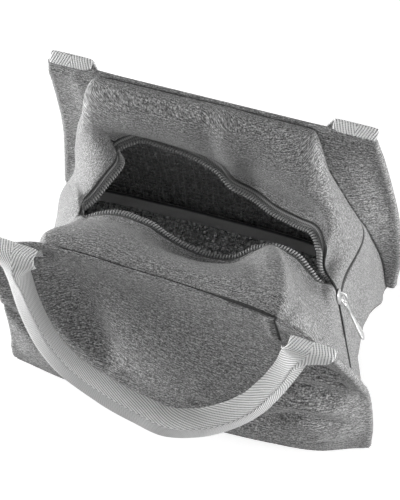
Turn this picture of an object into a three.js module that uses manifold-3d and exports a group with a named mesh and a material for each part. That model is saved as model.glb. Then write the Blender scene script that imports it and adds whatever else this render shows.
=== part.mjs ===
// Insulated lunch bag with a zip top, standing open.
// Millimetres, +Z up, +X towards the end where the zip slider is, -Y towards the front.
// The origin is the middle of the base, on the floor.
import * as THREE from 'three';
import * as BufferGeometryUtils from 'three/addons/utils/BufferGeometryUtils.js';
import Module from 'manifold-3d';

const wasm = await Module();
wasm.setup();

// Driving sizes of the bag
const baseLength = 252;
const baseDepth = 138;
const topLength = 200;
const topDepth = 128;
const panelHeight = 192;
// How far the slack bag has racked sideways and leant back
const rack = 4.5;
const lean = 4.5;

// Layers, from the outside in
const clothThickness = 0.8;
const foamThickness = 3;
const lipFoamThickness = 0.9;
const liningThickness = 0.8;
const layerGap = 0.3;
const seamGap = 0.5;

// Zip
const tapeWidth = 10.5;
const tapeThickness = 0.6;
const coilRadius = 1.15;
const coilDepth = 2.5;
const coilInset = 1.5;
const toothPitch = 3;
const zipSlot = 2.4;
const backTapeShown = 6.5;
const frontTapeShown = 4.5;
const chainEase = 8;
// The flat strip of a lip behind its free edge: how far it reaches, at most this share of the way
// to the panel, how much it rises, and how far it turns square to the edge
const shelfReach = 10;
const shelfShare = 0.4;
const shelfSlope = 0.25;
const shelfTurn = 0.5;
// How far a lip stands off the panel above their seam
const seamLift = 8;

// Slider and pull
const sliderLength = 10;
const sliderWidth = 8;
const sliderPlate = 1.1;
const sliderNeck = 1.5;
const sliderCorner = 2.4;
const neckLength = 4;
const sliderClearance = 0.4;
const bridgeLength = 7.2;
const bridgeHeight = 3.4;
const bridgeRadius = 0.7;
const pullLength = 36;
const pullWidth = 5.5;
const pullThickness = 1.2;
const pullLift = 14;
const ringWidth = 4.6;
const ringLength = 4;
const ringBar = 1.4;
const ringEye = { back: 0.6, front: 3, width: 2.6 };
const waistWidth = 2.2;
const waistLength = 4;
// How far in front of the slider's middle the ring hangs, the blade's round ends, and where the
// blade starts to swell
const ringAhead = 1.6;
const tipLength = 4;
const bladeShoulder = 3;
const bladeSwell = 0.55;
const stopLength = 2.4;

// Handles
const webbingWidth = 25;
const webbingThickness = 1.5;
const handleRootSpan = 175;
const handleDrop = 115;
const handleTuck = 18;
// How far each loop hangs out from its panel, how high it stands where it turns down, and the
// angles in degrees that its face leans back in the legs and at the bottom and is folded lengthwise
const frontLoop = { reach: 54, stand: 1, legs: 14, bottom: 46, fold: 20 };
const backLoop = { reach: 26, stand: 3, legs: 8, bottom: 8, fold: 0 };
// Where each loop turns over the edge of its panel: distance out from the root, and share of the
// stand
const overEdge = [[0, 0], [2, 0.3], [5.5, 1]];
// Places along each end of a strap where it bends closely, where its loose stretch starts, where it
// leaves the line of the roots, and where its fold begins and is full
const closeBends = [0, 1.6, 3.2, 4.8, 6.4, 9, 13];
const looseFrom = 18;
const turnsFree = [9, 32];
const foldsUp = [10, 50];
const foamShort = 3;
const bindingWidth = 8;

const halfOf = (a, b, w) => THREE.MathUtils.lerp(a, b, w) / 2;
const seat = clothThickness + layerGap;

// How far the sides bow to the right between the base and the top: the whole back, its right end
// on top of that, and the right end of the front
const backBow = [0, 2.5, 4, 2.5, 0];
const backEndBow = [0.5, 2.5, 0, -1.7, -1.9];
const frontEndBow = [3, 8, 8.8, 6, 0];

// A place in the bag: u runs -1 to 1 between the side edges, v from the front plane to the back
// plane, and w from the base to the top edge.
function at(u, v, w) {
  const end = Math.max(u, 0);
  const bow = v > 0 ? v * (ease(backBow, w) + end * ease(backEndBow, w))
    : -v * end * ease(frontEndBow, w);
  const x = u * halfOf(baseLength, topLength, w) - rack * v + bow;
  const y = v * halfOf(baseDepth, topDepth, w) + lean * w;
  return new THREE.Vector3(x, y, seat + w * (panelHeight - seat));
}

// Smooth value at x in 0..1 through values set at even steps
function ease(values, x) {
  const last = values.length - 1;
  const i = Math.max(0, Math.min(Math.floor(x * last), last - 1));
  const f = x * last - i;
  const [a, b, c, d] = [i - 1, i, i + 1, i + 2].map((k) => values[Math.max(0, Math.min(k, last))]);
  return b + 0.5 * f * (c - a + f * (2 * a - 5 * b + 4 * c - d + f * (3 * (b - c) + d - a)));
}

// How far each panel stands out of its plane: rows from the base up, columns from left to right
const backSlack = [
  [0, 3, 4, 5, 5, 5, 4, 0, -14],
  [0, 2, 4, 6, 6, 5, 2, -5, -10],
  [0, 0, 2, 4, 4, 3, -2, -11, -5],
  [0, -1, 0, 2, 2, 1, -1, -6, -1],
  [0, 0, 0, 0, 0, 0, 0, 0, 0],
];
const frontSlack = [
  [4, 8, 11, 13, 14, 13, 11, 7, -4],
  [5, 8, 11, 15, 17, 17, 15, 10, -4],
  [2, -4, -4, 0, 5, 8, 8, 4, -5],
  [-3, -13, -17, -14, -10, -7, -4, -3, -1.5],
  [-6.5, -13, -14.5, -13.5, -13, -11.5, -9.5, -5.5, 5],
];
const back = { side: 1, slack: backSlack };
const front = { side: -1, slack: frontSlack };

function panelPoint(panel, u, w) {
  const point = at(u, panel.side, w);
  const across = (u + 1) / 2;
  point.y += panel.side * ease(panel.slack.map((row) => ease(row, across)), w);
  return point;
}

function panelNormal(panel, u, w) {
  const step = 0.01;
  const alongU = panelPoint(panel, u + step, w).sub(panelPoint(panel, u - step, w));
  const alongW = panelPoint(panel, u, w + step).sub(panelPoint(panel, u, w - step));
  return alongU.cross(alongW).normalize().multiplyScalar(-panel.side);
}

// Walls stand on the base cloth and end level with the top edge
function withinWalls(point) {
  point.z = THREE.MathUtils.clamp(point.z, seat, panelHeight);
  return point;
}

// A point that lies a depth below the panel's outer face
const inPanel = (panel, u, w, depth) =>
  withinWalls(panelPoint(panel, u, w).addScaledVector(panelNormal(panel, u, w), -depth));

// Depths of the layers of a wall
const foamDepth = clothThickness + layerGap;
const liningDepth = foamDepth + foamThickness + layerGap;
const wallDepth = liningDepth + liningThickness;

// One closed body between two grids of points with the same rows and columns
function slab(outer, inner) {
  const rows = outer.length;
  const columns = outer[0].length;
  const positions = [...outer.flat(), ...inner.flat()].flatMap((p) => [p.x, p.y, p.z]);
  const id = (face, r, c) => (face * rows + r) * columns + c;
  const triangles = [];
  const quad = (a, b, c, d) => triangles.push(a, b, c, a, c, d);
  for (let r = 0; r + 1 < rows; r++) {
    for (let c = 0; c + 1 < columns; c++) {
      quad(id(0, r, c), id(0, r, c + 1), id(0, r + 1, c + 1), id(0, r + 1, c));
      quad(id(1, r, c), id(1, r + 1, c), id(1, r + 1, c + 1), id(1, r, c + 1));
    }
  }
  for (let c = 0; c + 1 < columns; c++) {
    quad(id(0, 0, c), id(1, 0, c), id(1, 0, c + 1), id(0, 0, c + 1));
    quad(id(0, rows - 1, c), id(0, rows - 1, c + 1), id(1, rows - 1, c + 1), id(1, rows - 1, c));
  }
  for (let r = 0; r + 1 < rows; r++) {
    quad(id(0, r, 0), id(0, r + 1, 0), id(1, r + 1, 0), id(1, r, 0));
    quad(id(0, r, columns - 1), id(1, r, columns - 1), id(1, r + 1, columns - 1),
      id(0, r + 1, columns - 1));
  }
  return facingOut(bodyFrom(positions, triangles));
}

function bodyFrom(positions, triangles) {
  const geometry = new THREE.BufferGeometry();
  geometry.setAttribute('position', new THREE.Float32BufferAttribute(positions, 3));
  geometry.setIndex(triangles);
  return geometry;
}

function volumeOf(geometry) {
  const place = geometry.getAttribute('position');
  const index = geometry.getIndex();
  const [a, b, c] = [new THREE.Vector3(), new THREE.Vector3(), new THREE.Vector3()];
  let volume = 0;
  for (let i = 0; i < index.count; i += 3) {
    a.fromBufferAttribute(place, index.getX(i));
    b.fromBufferAttribute(place, index.getX(i + 1));
    c.fromBufferAttribute(place, index.getX(i + 2));
    volume += a.dot(b.cross(c)) / 6;
  }
  return volume;
}

// Turn the faces round where a body was built inside out
function facingOut(geometry) {
  if (volumeOf(geometry) < 0) {
    const index = geometry.getIndex();
    for (let i = 0; i < index.count; i += 3) {
      const second = index.getX(i + 1);
      index.setX(i + 1, index.getX(i + 2));
      index.setX(i + 2, second);
    }
  }
  return geometry;
}

// Joining and cutting
function solid(geometry) {
  const bare = geometry.clone();
  bare.deleteAttribute('normal');
  bare.deleteAttribute('uv');
  const merged = BufferGeometryUtils.mergeVertices(bare, 1e-4);
  const vertProperties = new Float32Array(merged.getAttribute('position').array);
  const triVerts = new Uint32Array(merged.getIndex().array);
  return new wasm.Manifold(new wasm.Mesh({ numProp: 3, vertProperties, triVerts }));
}

function geometryOf(manifold) {
  const mesh = manifold.getMesh();
  return bodyFrom(Array.from(mesh.vertProperties), Array.from(mesh.triVerts));
}

const union = (geometries) => geometryOf(geometries.map(solid).reduce((all, next) => all.add(next)));

// Evenly spaced numbers from first to last
const steps = (first, last, count) =>
  Array.from({ length: count + 1 }, (_, i) => first + ((last - first) * i) / count);

// Panels: one grid for every layer, so that the layers lie parallel. The sewn ends of the handles
// take up the two outermost columns and the top row.
const panelColumns = steps(-1, 1, 16);
const handleEndRow = 1 - handleTuck / panelHeight;
const foamTopRow = handleEndRow - foamShort / panelHeight;
const foamRows = steps(0, foamTopRow, 8);
const panelRows = [...foamRows, handleEndRow, 1];

function panelLayer(panel, depth, thickness, columns = panelColumns, rows = panelRows) {
  const face = (level) => rows.map((w) => columns.map((u) => inPanel(panel, u, w, level)));
  return slab(face(depth), face(depth + thickness));
}

// The seam of each half of the zip band: where it meets its panel (u, w), where its edge lies
// (u, v, w), and how far it puffs out between them
const backBand = [
  { seam: [-0.97, 0], edge: [-0.995, 0.05, 0], puff: 2 },
  { seam: [-0.955, 0.1], edge: [-0.93, 0.02, 0.2], puff: 3 },
  { seam: [-0.94, 0.19], edge: [-0.83, -0.05, 0.47], puff: 5 },
  { seam: [-0.915, 0.28], edge: [-0.69, -0.1, 0.7], puff: 6 },
  { seam: [-0.88, 0.42], edge: [-0.639, -0.03, 0.722], puff: 5 },
  { seam: [-0.85, 0.56], edge: [-0.563, 0.2, 0.743], puff: 4 },
  { seam: [-0.81, 0.7], edge: [-0.5, 0.42, 0.745], puff: 3 },
  { seam: [-0.75, 0.82], edge: [-0.5, 0.62, 0.72], puff: 2 },
  { seam: [-0.66, 0.91], edge: [-0.45, 0.715, 0.722], puff: 0 },
  { seam: [-0.5, 0.955], edge: [-0.34, 0.745, 0.727], puff: 0 },
  { seam: [-0.3, 0.965], edge: [-0.16, 0.725, 0.727], puff: 0 },
  { seam: [-0.1, 0.965], edge: [0.017, 0.637, 0.727], puff: 1 },
  { seam: [0.08, 0.965], edge: [0.126, 0.527, 0.72], puff: 2 },
  { seam: [0.25, 0.965], edge: [0.25, 0.498, 0.697], puff: 2 },
  { seam: [0.42, 0.955], edge: [0.39, 0.394, 0.7], puff: 2 },
  { seam: [0.58, 0.93], edge: [0.548, 0.32, 0.712], puff: 2 },
  { seam: [0.68, 0.84], edge: [0.642, 0.27, 0.727], puff: 2 },
  { seam: [0.74, 0.73], edge: [0.7, 0.13, 0.72], puff: 2 },
  { seam: [0.79, 0.6], edge: [0.759, -0.03, 0.703], puff: 1 },
  { seam: [0.84, 0.48], edge: [0.841, -0.128, 0.688], puff: 0 },
  { seam: [0.87, 0.37], edge: [0.867, -0.32, 0.508], puff: 4 },
  { seam: [0.91, 0.25], edge: [0.896, -0.517, 0.328], puff: 5 },
  { seam: [0.95, 0.12], edge: [0.9, -0.2, 0.15], puff: 2 },
  { seam: [0.975, 0], edge: [0.846, 0.14, 0], puff: 1 },
];
const frontBand = [
  { seam: [-0.97, 0], puff: 0 },
  { seam: [-0.94, 0.24], puff: 0 },
  { seam: [-0.9, 0.48], puff: 0 },
  { seam: [-0.84, 0.7], puff: 0 },
  { seam: [-0.76, 0.85], edge: [-0.575, -0.02, 0.735], puff: 3 },
  { seam: [-0.66, 0.93], edge: [-0.486, 0.025, 0.75], puff: 4 },
  { seam: [-0.54, 0.955], edge: [-0.402, 0.039, 0.755], puff: 4 },
  { seam: [-0.42, 0.965], edge: [-0.32, 0.025, 0.757], puff: 4 },
  { seam: [-0.3, 0.965], edge: [-0.233, 0.008, 0.755], puff: 4 },
  { seam: [-0.18, 0.965], edge: [-0.155, -0.035, 0.75], puff: 4 },
  { seam: [-0.05, 0.965], edge: [-0.078, -0.072, 0.745], puff: 4 },
  { seam: [0.08, 0.965], edge: [0.02, -0.1, 0.735], puff: 4 },
  { seam: [0.2, 0.965], edge: [0.12, -0.111, 0.729], puff: 4 },
  { seam: [0.32, 0.965], edge: [0.25, -0.074, 0.729], puff: 4 },
  { seam: [0.44, 0.96], edge: [0.36, 0.043, 0.745], puff: 4 },
  { seam: [0.55, 0.95], edge: [0.479, 0.106, 0.757], puff: 4 },
  { seam: [0.66, 0.92], edge: [0.61, 0.086, 0.75], puff: 4 },
  { seam: [0.74, 0.85], edge: [0.7, 0.0, 0.735], puff: 4 },
  { seam: [0.8, 0.74], edge: [0.765, -0.075, 0.715], puff: 3 },
  { seam: [0.84, 0.61], puff: 2 },
  { seam: [0.87, 0.48], puff: 2 },
  { seam: [0.9, 0.34], puff: 2 },
  { seam: [0.94, 0.17], puff: 2 },
  { seam: [0.965, 0], puff: 2 },
];
// Stations along the band
const zipStart = 3;
const sliderStation = 19;
const zipStop = 21;
const lastStation = backBand.length - 1;
const isClosed = (k) => k <= zipStart || k >= sliderStation;

// The slider's own directions: down the closed chain, outward, and across from front to back
const sliderPlace = at(...backBand[sliderStation].edge);
const stopPlace = at(...backBand[zipStop].edge);
const down = stopPlace.clone().sub(sliderPlace).normalize();
const outward = new THREE.Vector3(0.976, 0.094, 0.185).addScaledVector(down, -0.01);
outward.addScaledVector(down, -outward.dot(down)).normalize();
const across = outward.clone().cross(down).normalize();

// Smooth track of points through the stations
function track(points) {
  return (s) => {
    const x = s / lastStation;
    return new THREE.Vector3(...['x', 'y', 'z'].map((axis) => ease(points.map((p) => p[axis]), x)));
  };
}

function bandHalf(panel, stations) {
  const edges = stations.map((station, k) => {
    const edge = at(...(isClosed(k) ? backBand[k] : station).edge);
    const slot = (panel.side * zipSlot) / 2;
    return k > zipStart ? edge.addScaledVector(across, slot) : edge.add(new THREE.Vector3(0, slot, 0));
  });
  edges[sliderStation + 1].lerpVectors(edges[sliderStation], edges[zipStop], 0.5);
  const seamU = stations.map((station) => station.seam[0]);
  const seamW = stations.map((station) => station.seam[1]);
  const seamPlace = (s, depth) => {
    const x = s / lastStation;
    return inPanel(panel, ease(seamU, x), Math.max(0, ease(seamW, x)), depth);
  };
  const puffs = stations.map((station) => station.puff);
  const edgeTrack = track(edges);
  const edgePlace = (s) => {
    if (s <= sliderStation || s >= zipStop) return edgeTrack(s);
    const part = (s - sliderStation) / (zipStop - sliderStation);
    return edges[sliderStation].clone().lerp(edges[zipStop], part);
  };
  const eased = track(stations.map((station, k) => {
    const chain = k >= sliderStation - 1 && k <= zipStop;
    const flat = edges[k].clone().addScaledVector(across, panel.side * chainEase);
    const toSeam = seamPlace(k, wallDepth + seamGap).sub(edges[k]).setZ(0);
    const run = edges[Math.min(k + 1, lastStation)].clone().sub(edges[Math.max(k - 1, 0)]);
    const square = new THREE.Vector3(-run.y, run.x, 0).multiplyScalar(panel.side).normalize();
    const turned = k > zipStart + 1 && k < sliderStation - 1 ? shelfTurn : 0;
    const room = Math.abs(toSeam.y) * shelfShare;
    const shelf = toSeam.normalize().lerp(square, turned).normalize().setZ(shelfSlope);
    shelf.multiplyScalar(Math.min(shelfReach, room / Math.abs(shelf.y))).add(edges[k]);
    return chain ? flat : shelf;
  }));
  // q runs from the free edge to the seam. The band puffs up over the bag and out at its ends.
  const halfWay = lastStation / 2;
  const [upTo, outFrom] = [6, 10];
  const spots = [0, 0.15, 0.52, 0.88, 1];
  return (s, q) => {
    const near = eased(s);
    const lift = seamPlace(s, wallDepth + seamGap + seamLift);
    const puff = ease(puffs, s / lastStation);
    const out = THREE.MathUtils.smoothstep(Math.abs(s - halfWay), upTo, outFrom);
    const bulge = near.clone().lerp(lift, 0.5);
    bulge.add(new THREE.Vector3(Math.sign(s - halfWay) * out, 0, 1 - out).multiplyScalar(puff));
    const points = [edgePlace(s), near, bulge, lift, seamPlace(s, wallDepth + seamGap)];
    return throughSpots(points, spots, q);
  };
}

// Smooth curve through points set at uneven spots
function throughSpots(points, spots, q) {
  let i = 0;
  while (i < spots.length - 2 && q > spots[i + 1]) i++;
  const span = spots[i + 1] - spots[i];
  const f = (q - spots[i]) / span;
  const slope = (k) => {
    const before = Math.max(0, k - 1);
    const after = Math.min(points.length - 1, k + 1);
    return points[after].clone().sub(points[before]).divideScalar(spots[after] - spots[before]);
  };
  const f2 = f * f;
  const f3 = f2 * f;
  return new THREE.Vector3()
    .addScaledVector(points[i], 2 * f3 - 3 * f2 + 1)
    .addScaledVector(slope(i), (f3 - 2 * f2 + f) * span)
    .addScaledVector(points[i + 1], -2 * f3 + 3 * f2)
    .addScaledVector(slope(i + 1), (f3 - f2) * span);
}

const halves = { back: bandHalf(back, backBand), front: bandHalf(front, frontBand) };
// q from -1 at the front seam through 0 at the zip to 1 at the back seam
const bandPoint = (s, q) => (q < 0 ? halves.front(s, -q) : halves.back(s, q));

function bandNormal(s, q, half) {
  const stepS = 0.45;
  const stepQ = 0.04;
  const point = half ? (a, b) => halves[half](a, Math.abs(b)) : bandPoint;
  const low = Math.max(q - stepQ, half === 'back' ? 0 : -1);
  const high = Math.min(q + stepQ, half === 'front' ? 0 : 1);
  const alongS = point(Math.min(s + stepS, lastStation), q).sub(point(Math.max(s - stepS, 0), q));
  const alongQ = point(s, high).sub(point(s, low));
  return alongS.cross(alongQ).normalize();
}

// Curve parameter at a distance from the free edge, measured square to that edge
function spotAt(half, s, distance) {
  const count = 60;
  const side = halves[half];
  const along = side(Math.min(s + 0.1, lastStation), 0).sub(side(Math.max(s - 0.1, 0), 0)).normalize();
  let walked = 0;
  let before = side(s, 0);
  for (let i = 1; i <= count; i++) {
    const here = side(s, i / count);
    const step = here.clone().sub(before);
    const stride = step.addScaledVector(along, -step.dot(along)).length();
    if (walked + stride >= distance) return (i - 1 + (distance - walked) / stride) / count;
    walked += stride;
    before = here;
  }
  return 1;
}

// A point a depth below the outer face of one half of the band
function inLip(half, s, q, depth) {
  const sign = half === 'back' ? 1 : -1;
  const normal = bandNormal(s, sign * q, half);
  return withinWalls(halves[half](s, q).addScaledVector(normal, -depth));
}

const endGap = 0.03;
const lipColumns = [
  ...steps(zipStart + endGap, sliderStation, 27),
  ...steps(sliderStation, zipStop - endGap, 4).slice(1),
];
const lipFoamDepth = clothThickness + layerGap;
const tapeDepth = coilDepth - tapeThickness / 2;
const coilGuide = 0.02;
const lipLiningDepth = tapeDepth + tapeThickness + 1.5 * layerGap;

// How far the cloth stops short of the zip: all the tape shows where the zip is open, none where
// it is closed
function shownTape(half, s) {
  const full = half === 'back' ? backTapeShown : frontTapeShown;
  const ends = [zipStart + 0.06, zipStart + 1, sliderStation - 1.5, sliderStation - 0.2];
  const opening = THREE.MathUtils.smoothstep(s, ends[0], ends[1]);
  const closing = 1 - THREE.MathUtils.smoothstep(s, ends[2], ends[3]);
  return full * Math.min(opening, closing);
}

// Rows across a lip, from the free edge to the seam. The layers share them, so that they lie
// parallel.
function lipRows(half, s) {
  const spot = (distance) => spotAt(half, s, distance);
  const cloth = spot(shownTape(half, s));
  const tape = spot(coilInset + coilRadius + 3 * layerGap);
  const lining = spot(coilInset + coilRadius + 2);
  const tapeEnd = spot(coilInset + tapeWidth);
  const middle = (lining + tapeEnd) / 2;
  const rest = steps(tapeEnd, 1, 4);
  return {
    cloth: [cloth, (cloth + tapeEnd) / 2, ...rest],
    foam: rest,
    tape: [tape, lining, middle, tapeEnd],
    lining: [lining, middle, ...rest],
  };
}

function lipLayer(half, layer, depth, thickness) {
  const rows = lipColumns.map((s) => lipRows(half, s)[layer]);
  const face = (level) => lipColumns.map((s, i) => rows[i].map((q) => inLip(half, s, q, level)));
  return slab(face(depth), face(depth + thickness));
}

// The gussets close the ends of the bag
function gussetLayer(first, last, depth, thickness) {
  const stations = steps(first, last, 6);
  const rows = steps(-1, 1, 10);
  const face = (level) => stations.map((s) => rows.map((q) =>
    withinWalls(bandPoint(s, q).addScaledVector(bandNormal(s, q), -level))));
  return slab(face(depth), face(depth + thickness));
}

// Toothed coil along the free edge: a bead that swells at each tooth. It bends at the same
// columns as the tape that carries it.
function coil(half) {
  const [first, last] = [zipStart + 0.4, zipStop - 0.15];
  const columns = [first, ...lipColumns.filter((s) => s > first && s < last)];
  const bends = columns.map((s) => inLip(half, s, spotAt(half, s, coilInset), coilDepth));
  const smooth = new THREE.CatmullRomCurve3(bends);
  const legs = bends.slice(1).map((p, i) => p.distanceTo(bends[i]));
  const length = legs.reduce((sum, leg) => sum + leg, 0);
  const teeth = Math.floor(length / toothPitch);
  const sides = 4;
  const valley = 0.68;
  const rings = steps(0, length, 2 * teeth).map((distance, i) => {
    let leg = 0;
    let rest = distance;
    while (leg < legs.length - 1 && rest > legs[leg]) rest -= legs[leg++];
    const f = Math.min(1, rest / legs[leg]);
    const here = bends[leg].clone().lerp(bends[leg + 1], f);
    const ahead = smooth.getTangent((leg + f) / legs.length);
    const s = THREE.MathUtils.lerp(columns[leg], columns[leg + 1], f);
    const guide = bandNormal(s, half === 'back' ? coilGuide : -coilGuide, half);
    const side = ahead.clone().cross(guide).normalize();
    const up = side.clone().cross(ahead).normalize();
    const radius = coilRadius * (i % 2 ? valley : 1);
    return steps(0, 2 * Math.PI, sides).slice(0, sides).map((angle) => here.clone()
      .addScaledVector(side, Math.cos(angle) * radius)
      .addScaledVector(up, Math.sin(angle) * radius));
  });
  return tubeFrom(rings);
}

// Closed body through rings of points, with fan ends
function tubeFrom(rings) {
  const sides = rings[0].length;
  const positions = rings.flat().flatMap((p) => [p.x, p.y, p.z]);
  const triangles = [];
  for (let r = 0; r + 1 < rings.length; r++) {
    for (let k = 0; k < sides; k++) {
      const a = r * sides + k;
      const b = r * sides + ((k + 1) % sides);
      triangles.push(a, b, b + sides, a, b + sides, a + sides);
    }
  }
  for (let k = 1; k + 1 < sides; k++) {
    const end = (rings.length - 1) * sides;
    triangles.push(0, k + 1, k, end, end + k, end + k + 1);
  }
  return facingOut(bodyFrom(positions, triangles));
}

// Base: a cloth plate under all the walls, and a foam board and lining inside them
function extruded(points, bottom, thickness, opening) {
  const flat = (outline) => outline.map((p) => new THREE.Vector2(p.x, p.y));
  const shape = new THREE.Shape(flat(points));
  if (opening) shape.holes.push(new THREE.Path(flat(opening)));
  const geometry = new THREE.ExtrudeGeometry(shape, { depth: thickness, bevelEnabled: false });
  return geometry.translate(0, 0, bottom);
}

// Outline at the foot of the walls, a depth inside their outer face. Where a wall leans in, the
// boards keep clear of it at their top too.
function baseOutline(depth) {
  const boardTop = 0.03;
  const footStep = 0.25;
  const reach = depth ? 0.9 : 1;
  const width = steps(-reach, reach, 16);
  const rows = steps(-0.93, 0.93, 12);
  const inner = (a, b, axis) => (Math.abs(a[axis]) < Math.abs(b[axis]) ? a : b);
  const panelFoot = (panel) => (u) =>
    inner(inPanel(panel, u, 0, depth), inPanel(panel, u, depth ? boardTop : 0, depth), 'y');
  const inBand = (s, q) => bandPoint(s, q).addScaledVector(bandNormal(s, q), -depth);
  const gussetFoot = (s, step) => (q) => inner(inBand(s, q), inBand(depth ? s + step : s, q), 'x');
  const frontEdge = width.map(panelFoot(front));
  const rightEdge = rows.map(gussetFoot(lastStation, -footStep));
  const backEdge = [...width].reverse().map(panelFoot(back));
  const leftEdge = [...rows].reverse().map(gussetFoot(0, footStep));
  const skip = depth ? 2 : 1;
  const middleOf = (edge) => edge.slice(skip, edge.length - skip);
  return [...frontEdge, ...middleOf(rightEdge), ...backEdge, ...middleOf(leftEdge)];
}

// Handles
// The hanging loop: along the root line, down, and out from the panel, each as a share of its size
const handleRoute = [
  [-0.99, 0.12, 0.28], [-0.97, 0.26, 0.33], [-0.9, 0.45, 0.48], [-0.78, 0.63, 0.66],
  [-0.61, 0.77, 0.79], [-0.38, 0.91, 0.86], [-0.16, 0.98, 0.9], [0.06, 1.01, 0.93],
  [0.3, 1.01, 0.82], [0.49, 0.95, 0.67], [0.64, 0.84, 0.51], [0.77, 0.63, 0.33],
  [0.85, 0.39, 0.26], [0.91, 0.14, 0.22],
];

// Where the strap leaves the top of a panel, between the cloth and the facing. It turns there on
// the line through both of its roots.
const handleRootU = handleRootSpan / topLength;
const handleHalfU = webbingWidth / topLength;
const rootHeight = panelHeight + layerGap + webbingThickness / 2;
function handleRoots(panel) {
  const depth = foamDepth + webbingThickness / 2;
  const [left, right] = [-1, 1].map((side) => {
    const [near, far] = [-1, 1].map((end) =>
      inPanel(panel, side * handleRootU + end * handleHalfU, 1, depth));
    return near.lerp(far, 0.5).setZ(rootHeight);
  });
  const wide = right.clone().sub(left).normalize();
  const out = new THREE.Vector3(wide.y, -wide.x, 0).multiplyScalar(-panel.side);
  return { left, right, wide, out };
}

function handleCurve(panel, roots, loop) {
  const middle = at(0, panel.side, 1).x;
  const points = handleRoute.map(([along, drop, out]) => {
    const y = THREE.MathUtils.lerp(roots.left.y, roots.right.y, (along + 1) / 2);
    const x = middle + (along * handleRootSpan) / 2;
    const z = panelHeight + webbingThickness - drop * handleDrop;
    return new THREE.Vector3(x, y + panel.side * (out * loop.reach), z);
  });
  const [start, end] = [roots.left, roots.right].map((root) => overEdge.map(([out, rise]) =>
    root.clone().addScaledVector(roots.out, out).setZ(rootHeight + rise * loop.stand)));
  return new THREE.CatmullRomCurve3([...start, ...points, ...end.reverse()]);
}

// A strap of webbing that leaves the panel at both roots and hangs in a loop, creased along its
// middle
function handle(panel, loop) {
  const roots = handleRoots(panel);
  const curve = handleCurve(panel, roots, loop);
  curve.arcLengthDivisions = 800;
  const length = curve.getLength();
  const stations = [...closeBends, ...steps(looseFrom, length - looseFrom, 28),
    ...closeBends.map((distance) => length - distance).reverse()];
  const rings = stations.map((distance) => {
    const here = curve.getPointAt(distance / length);
    const fromEnd = Math.min(distance, length - distance);
    const sign = distance < length / 2 ? 1 : -1;
    const ahead = fromEnd ? curve.getTangentAt(distance / length)
      : roots.out.clone().multiplyScalar(sign);
    const leanBack = THREE.MathUtils.lerp(loop.legs, loop.bottom, Math.abs(ahead.x));
    const turn = THREE.MathUtils.degToRad(leanBack);
    const flat = new THREE.Vector3(0, panel.side * Math.cos(turn), Math.sin(turn));
    const free = ahead.clone().cross(flat).normalize().multiplyScalar(panel.side);
    const wide = roots.wide.clone().multiplyScalar(sign);
    wide.lerp(free, THREE.MathUtils.smoothstep(fromEnd, ...turnsFree)).normalize();
    const thick = ahead.clone().cross(wide).multiplyScalar(-panel.side).normalize();
    const folded = loop.fold * THREE.MathUtils.smoothstep(fromEnd, ...foldsUp);
    const fold = THREE.MathUtils.degToRad(folded);
    const place = (a, b) => here.clone()
      .addScaledVector(wide, (a * webbingWidth * Math.cos(fold)) / 2)
      .addScaledVector(thick, (b * webbingThickness - Math.abs(a) * webbingWidth * Math.sin(fold)) / 2);
    return [[-1, -1], [0, -1], [1, -1], [1, 1], [0, 1], [-1, 1]].map(([a, b]) => place(a, b));
  });
  return tubeFrom(rings);
}

// A sewn end of the webbing, between the panel's cloth and its facing
function handleEnd(panel, side) {
  const columns = [-1, 0, 1].map((end) => side * handleRootU + end * handleHalfU);
  return panelLayer(panel, foamDepth, webbingThickness, columns, [handleEndRow, 1]);
}

// Zip slider: a channel under the closed chain, a neck through the slot, and a plate with a bridge
const sliderFrame = new THREE.Matrix4().makeBasis(down, across, outward).setPosition(sliderPlace);
const box = (sx, sy, sz, x, y, z) => new THREE.BoxGeometry(sx, sy, sz).translate(x, y, z);

function roundedPlate(length, width, thickness, corner, bottom) {
  const shape = new THREE.Shape();
  const [hx, hy] = [length / 2, width / 2];
  shape.moveTo(-hx + corner, -hy);
  shape.lineTo(hx - corner, -hy);
  shape.quadraticCurveTo(hx, -hy, hx, -hy + corner);
  shape.lineTo(hx, hy - corner);
  shape.quadraticCurveTo(hx, hy, hx - corner, hy);
  shape.lineTo(-hx + corner, hy);
  shape.quadraticCurveTo(-hx, hy, -hx, hy - corner);
  shape.lineTo(-hx, -hy + corner);
  shape.quadraticCurveTo(-hx, -hy, -hx + corner, -hy);
  const settings = { depth: thickness, bevelEnabled: false, curveSegments: 4 };
  return new THREE.ExtrudeGeometry(shape, settings).translate(0, 0, bottom);
}

// The slider sits just below the place where the two halves meet
const sliderMiddle = sliderLength / 2 + 1;
const plateBottom = sliderClearance;
const plateTop = plateBottom + sliderPlate;
const bridgeTop = plateTop + bridgeHeight;

function slider() {
  const plate = (bottom) =>
    roundedPlate(sliderLength, sliderWidth, sliderPlate, sliderCorner, bottom);
  const floor = -(lipLiningDepth + liningThickness + sliderClearance + sliderPlate);
  const neckHeight = plateBottom - floor;
  const neck = new THREE.BoxGeometry(neckLength, sliderNeck, neckHeight)
    .translate(0, 0, floor + (neckHeight + sliderPlate) / 2);
  const foot = bridgeLength / 2;
  const shoulder = foot - bridgeRadius;
  const arch = new THREE.CatmullRomCurve3([
    new THREE.Vector3(-foot, 0, plateBottom + sliderPlate / 2),
    new THREE.Vector3(-shoulder, 0, bridgeTop - bridgeRadius),
    new THREE.Vector3(0, 0, bridgeTop),
    new THREE.Vector3(shoulder, 0, bridgeTop - bridgeRadius),
    new THREE.Vector3(foot, 0, plateBottom + sliderPlate / 2),
  ]);
  const section = new THREE.Shape().absarc(0, 0, bridgeRadius, 0, 2 * Math.PI);
  const bridge = new THREE.ExtrudeGeometry(section, {
    steps: 12, curveSegments: 4, bevelEnabled: false, extrudePath: arch,
  });
  const body = union([plate(plateBottom), plate(floor), neck, bridge]);
  return body.applyMatrix4(new THREE.Matrix4().makeTranslation(sliderMiddle, 0, 0)
    .premultiply(sliderFrame));
}

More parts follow.
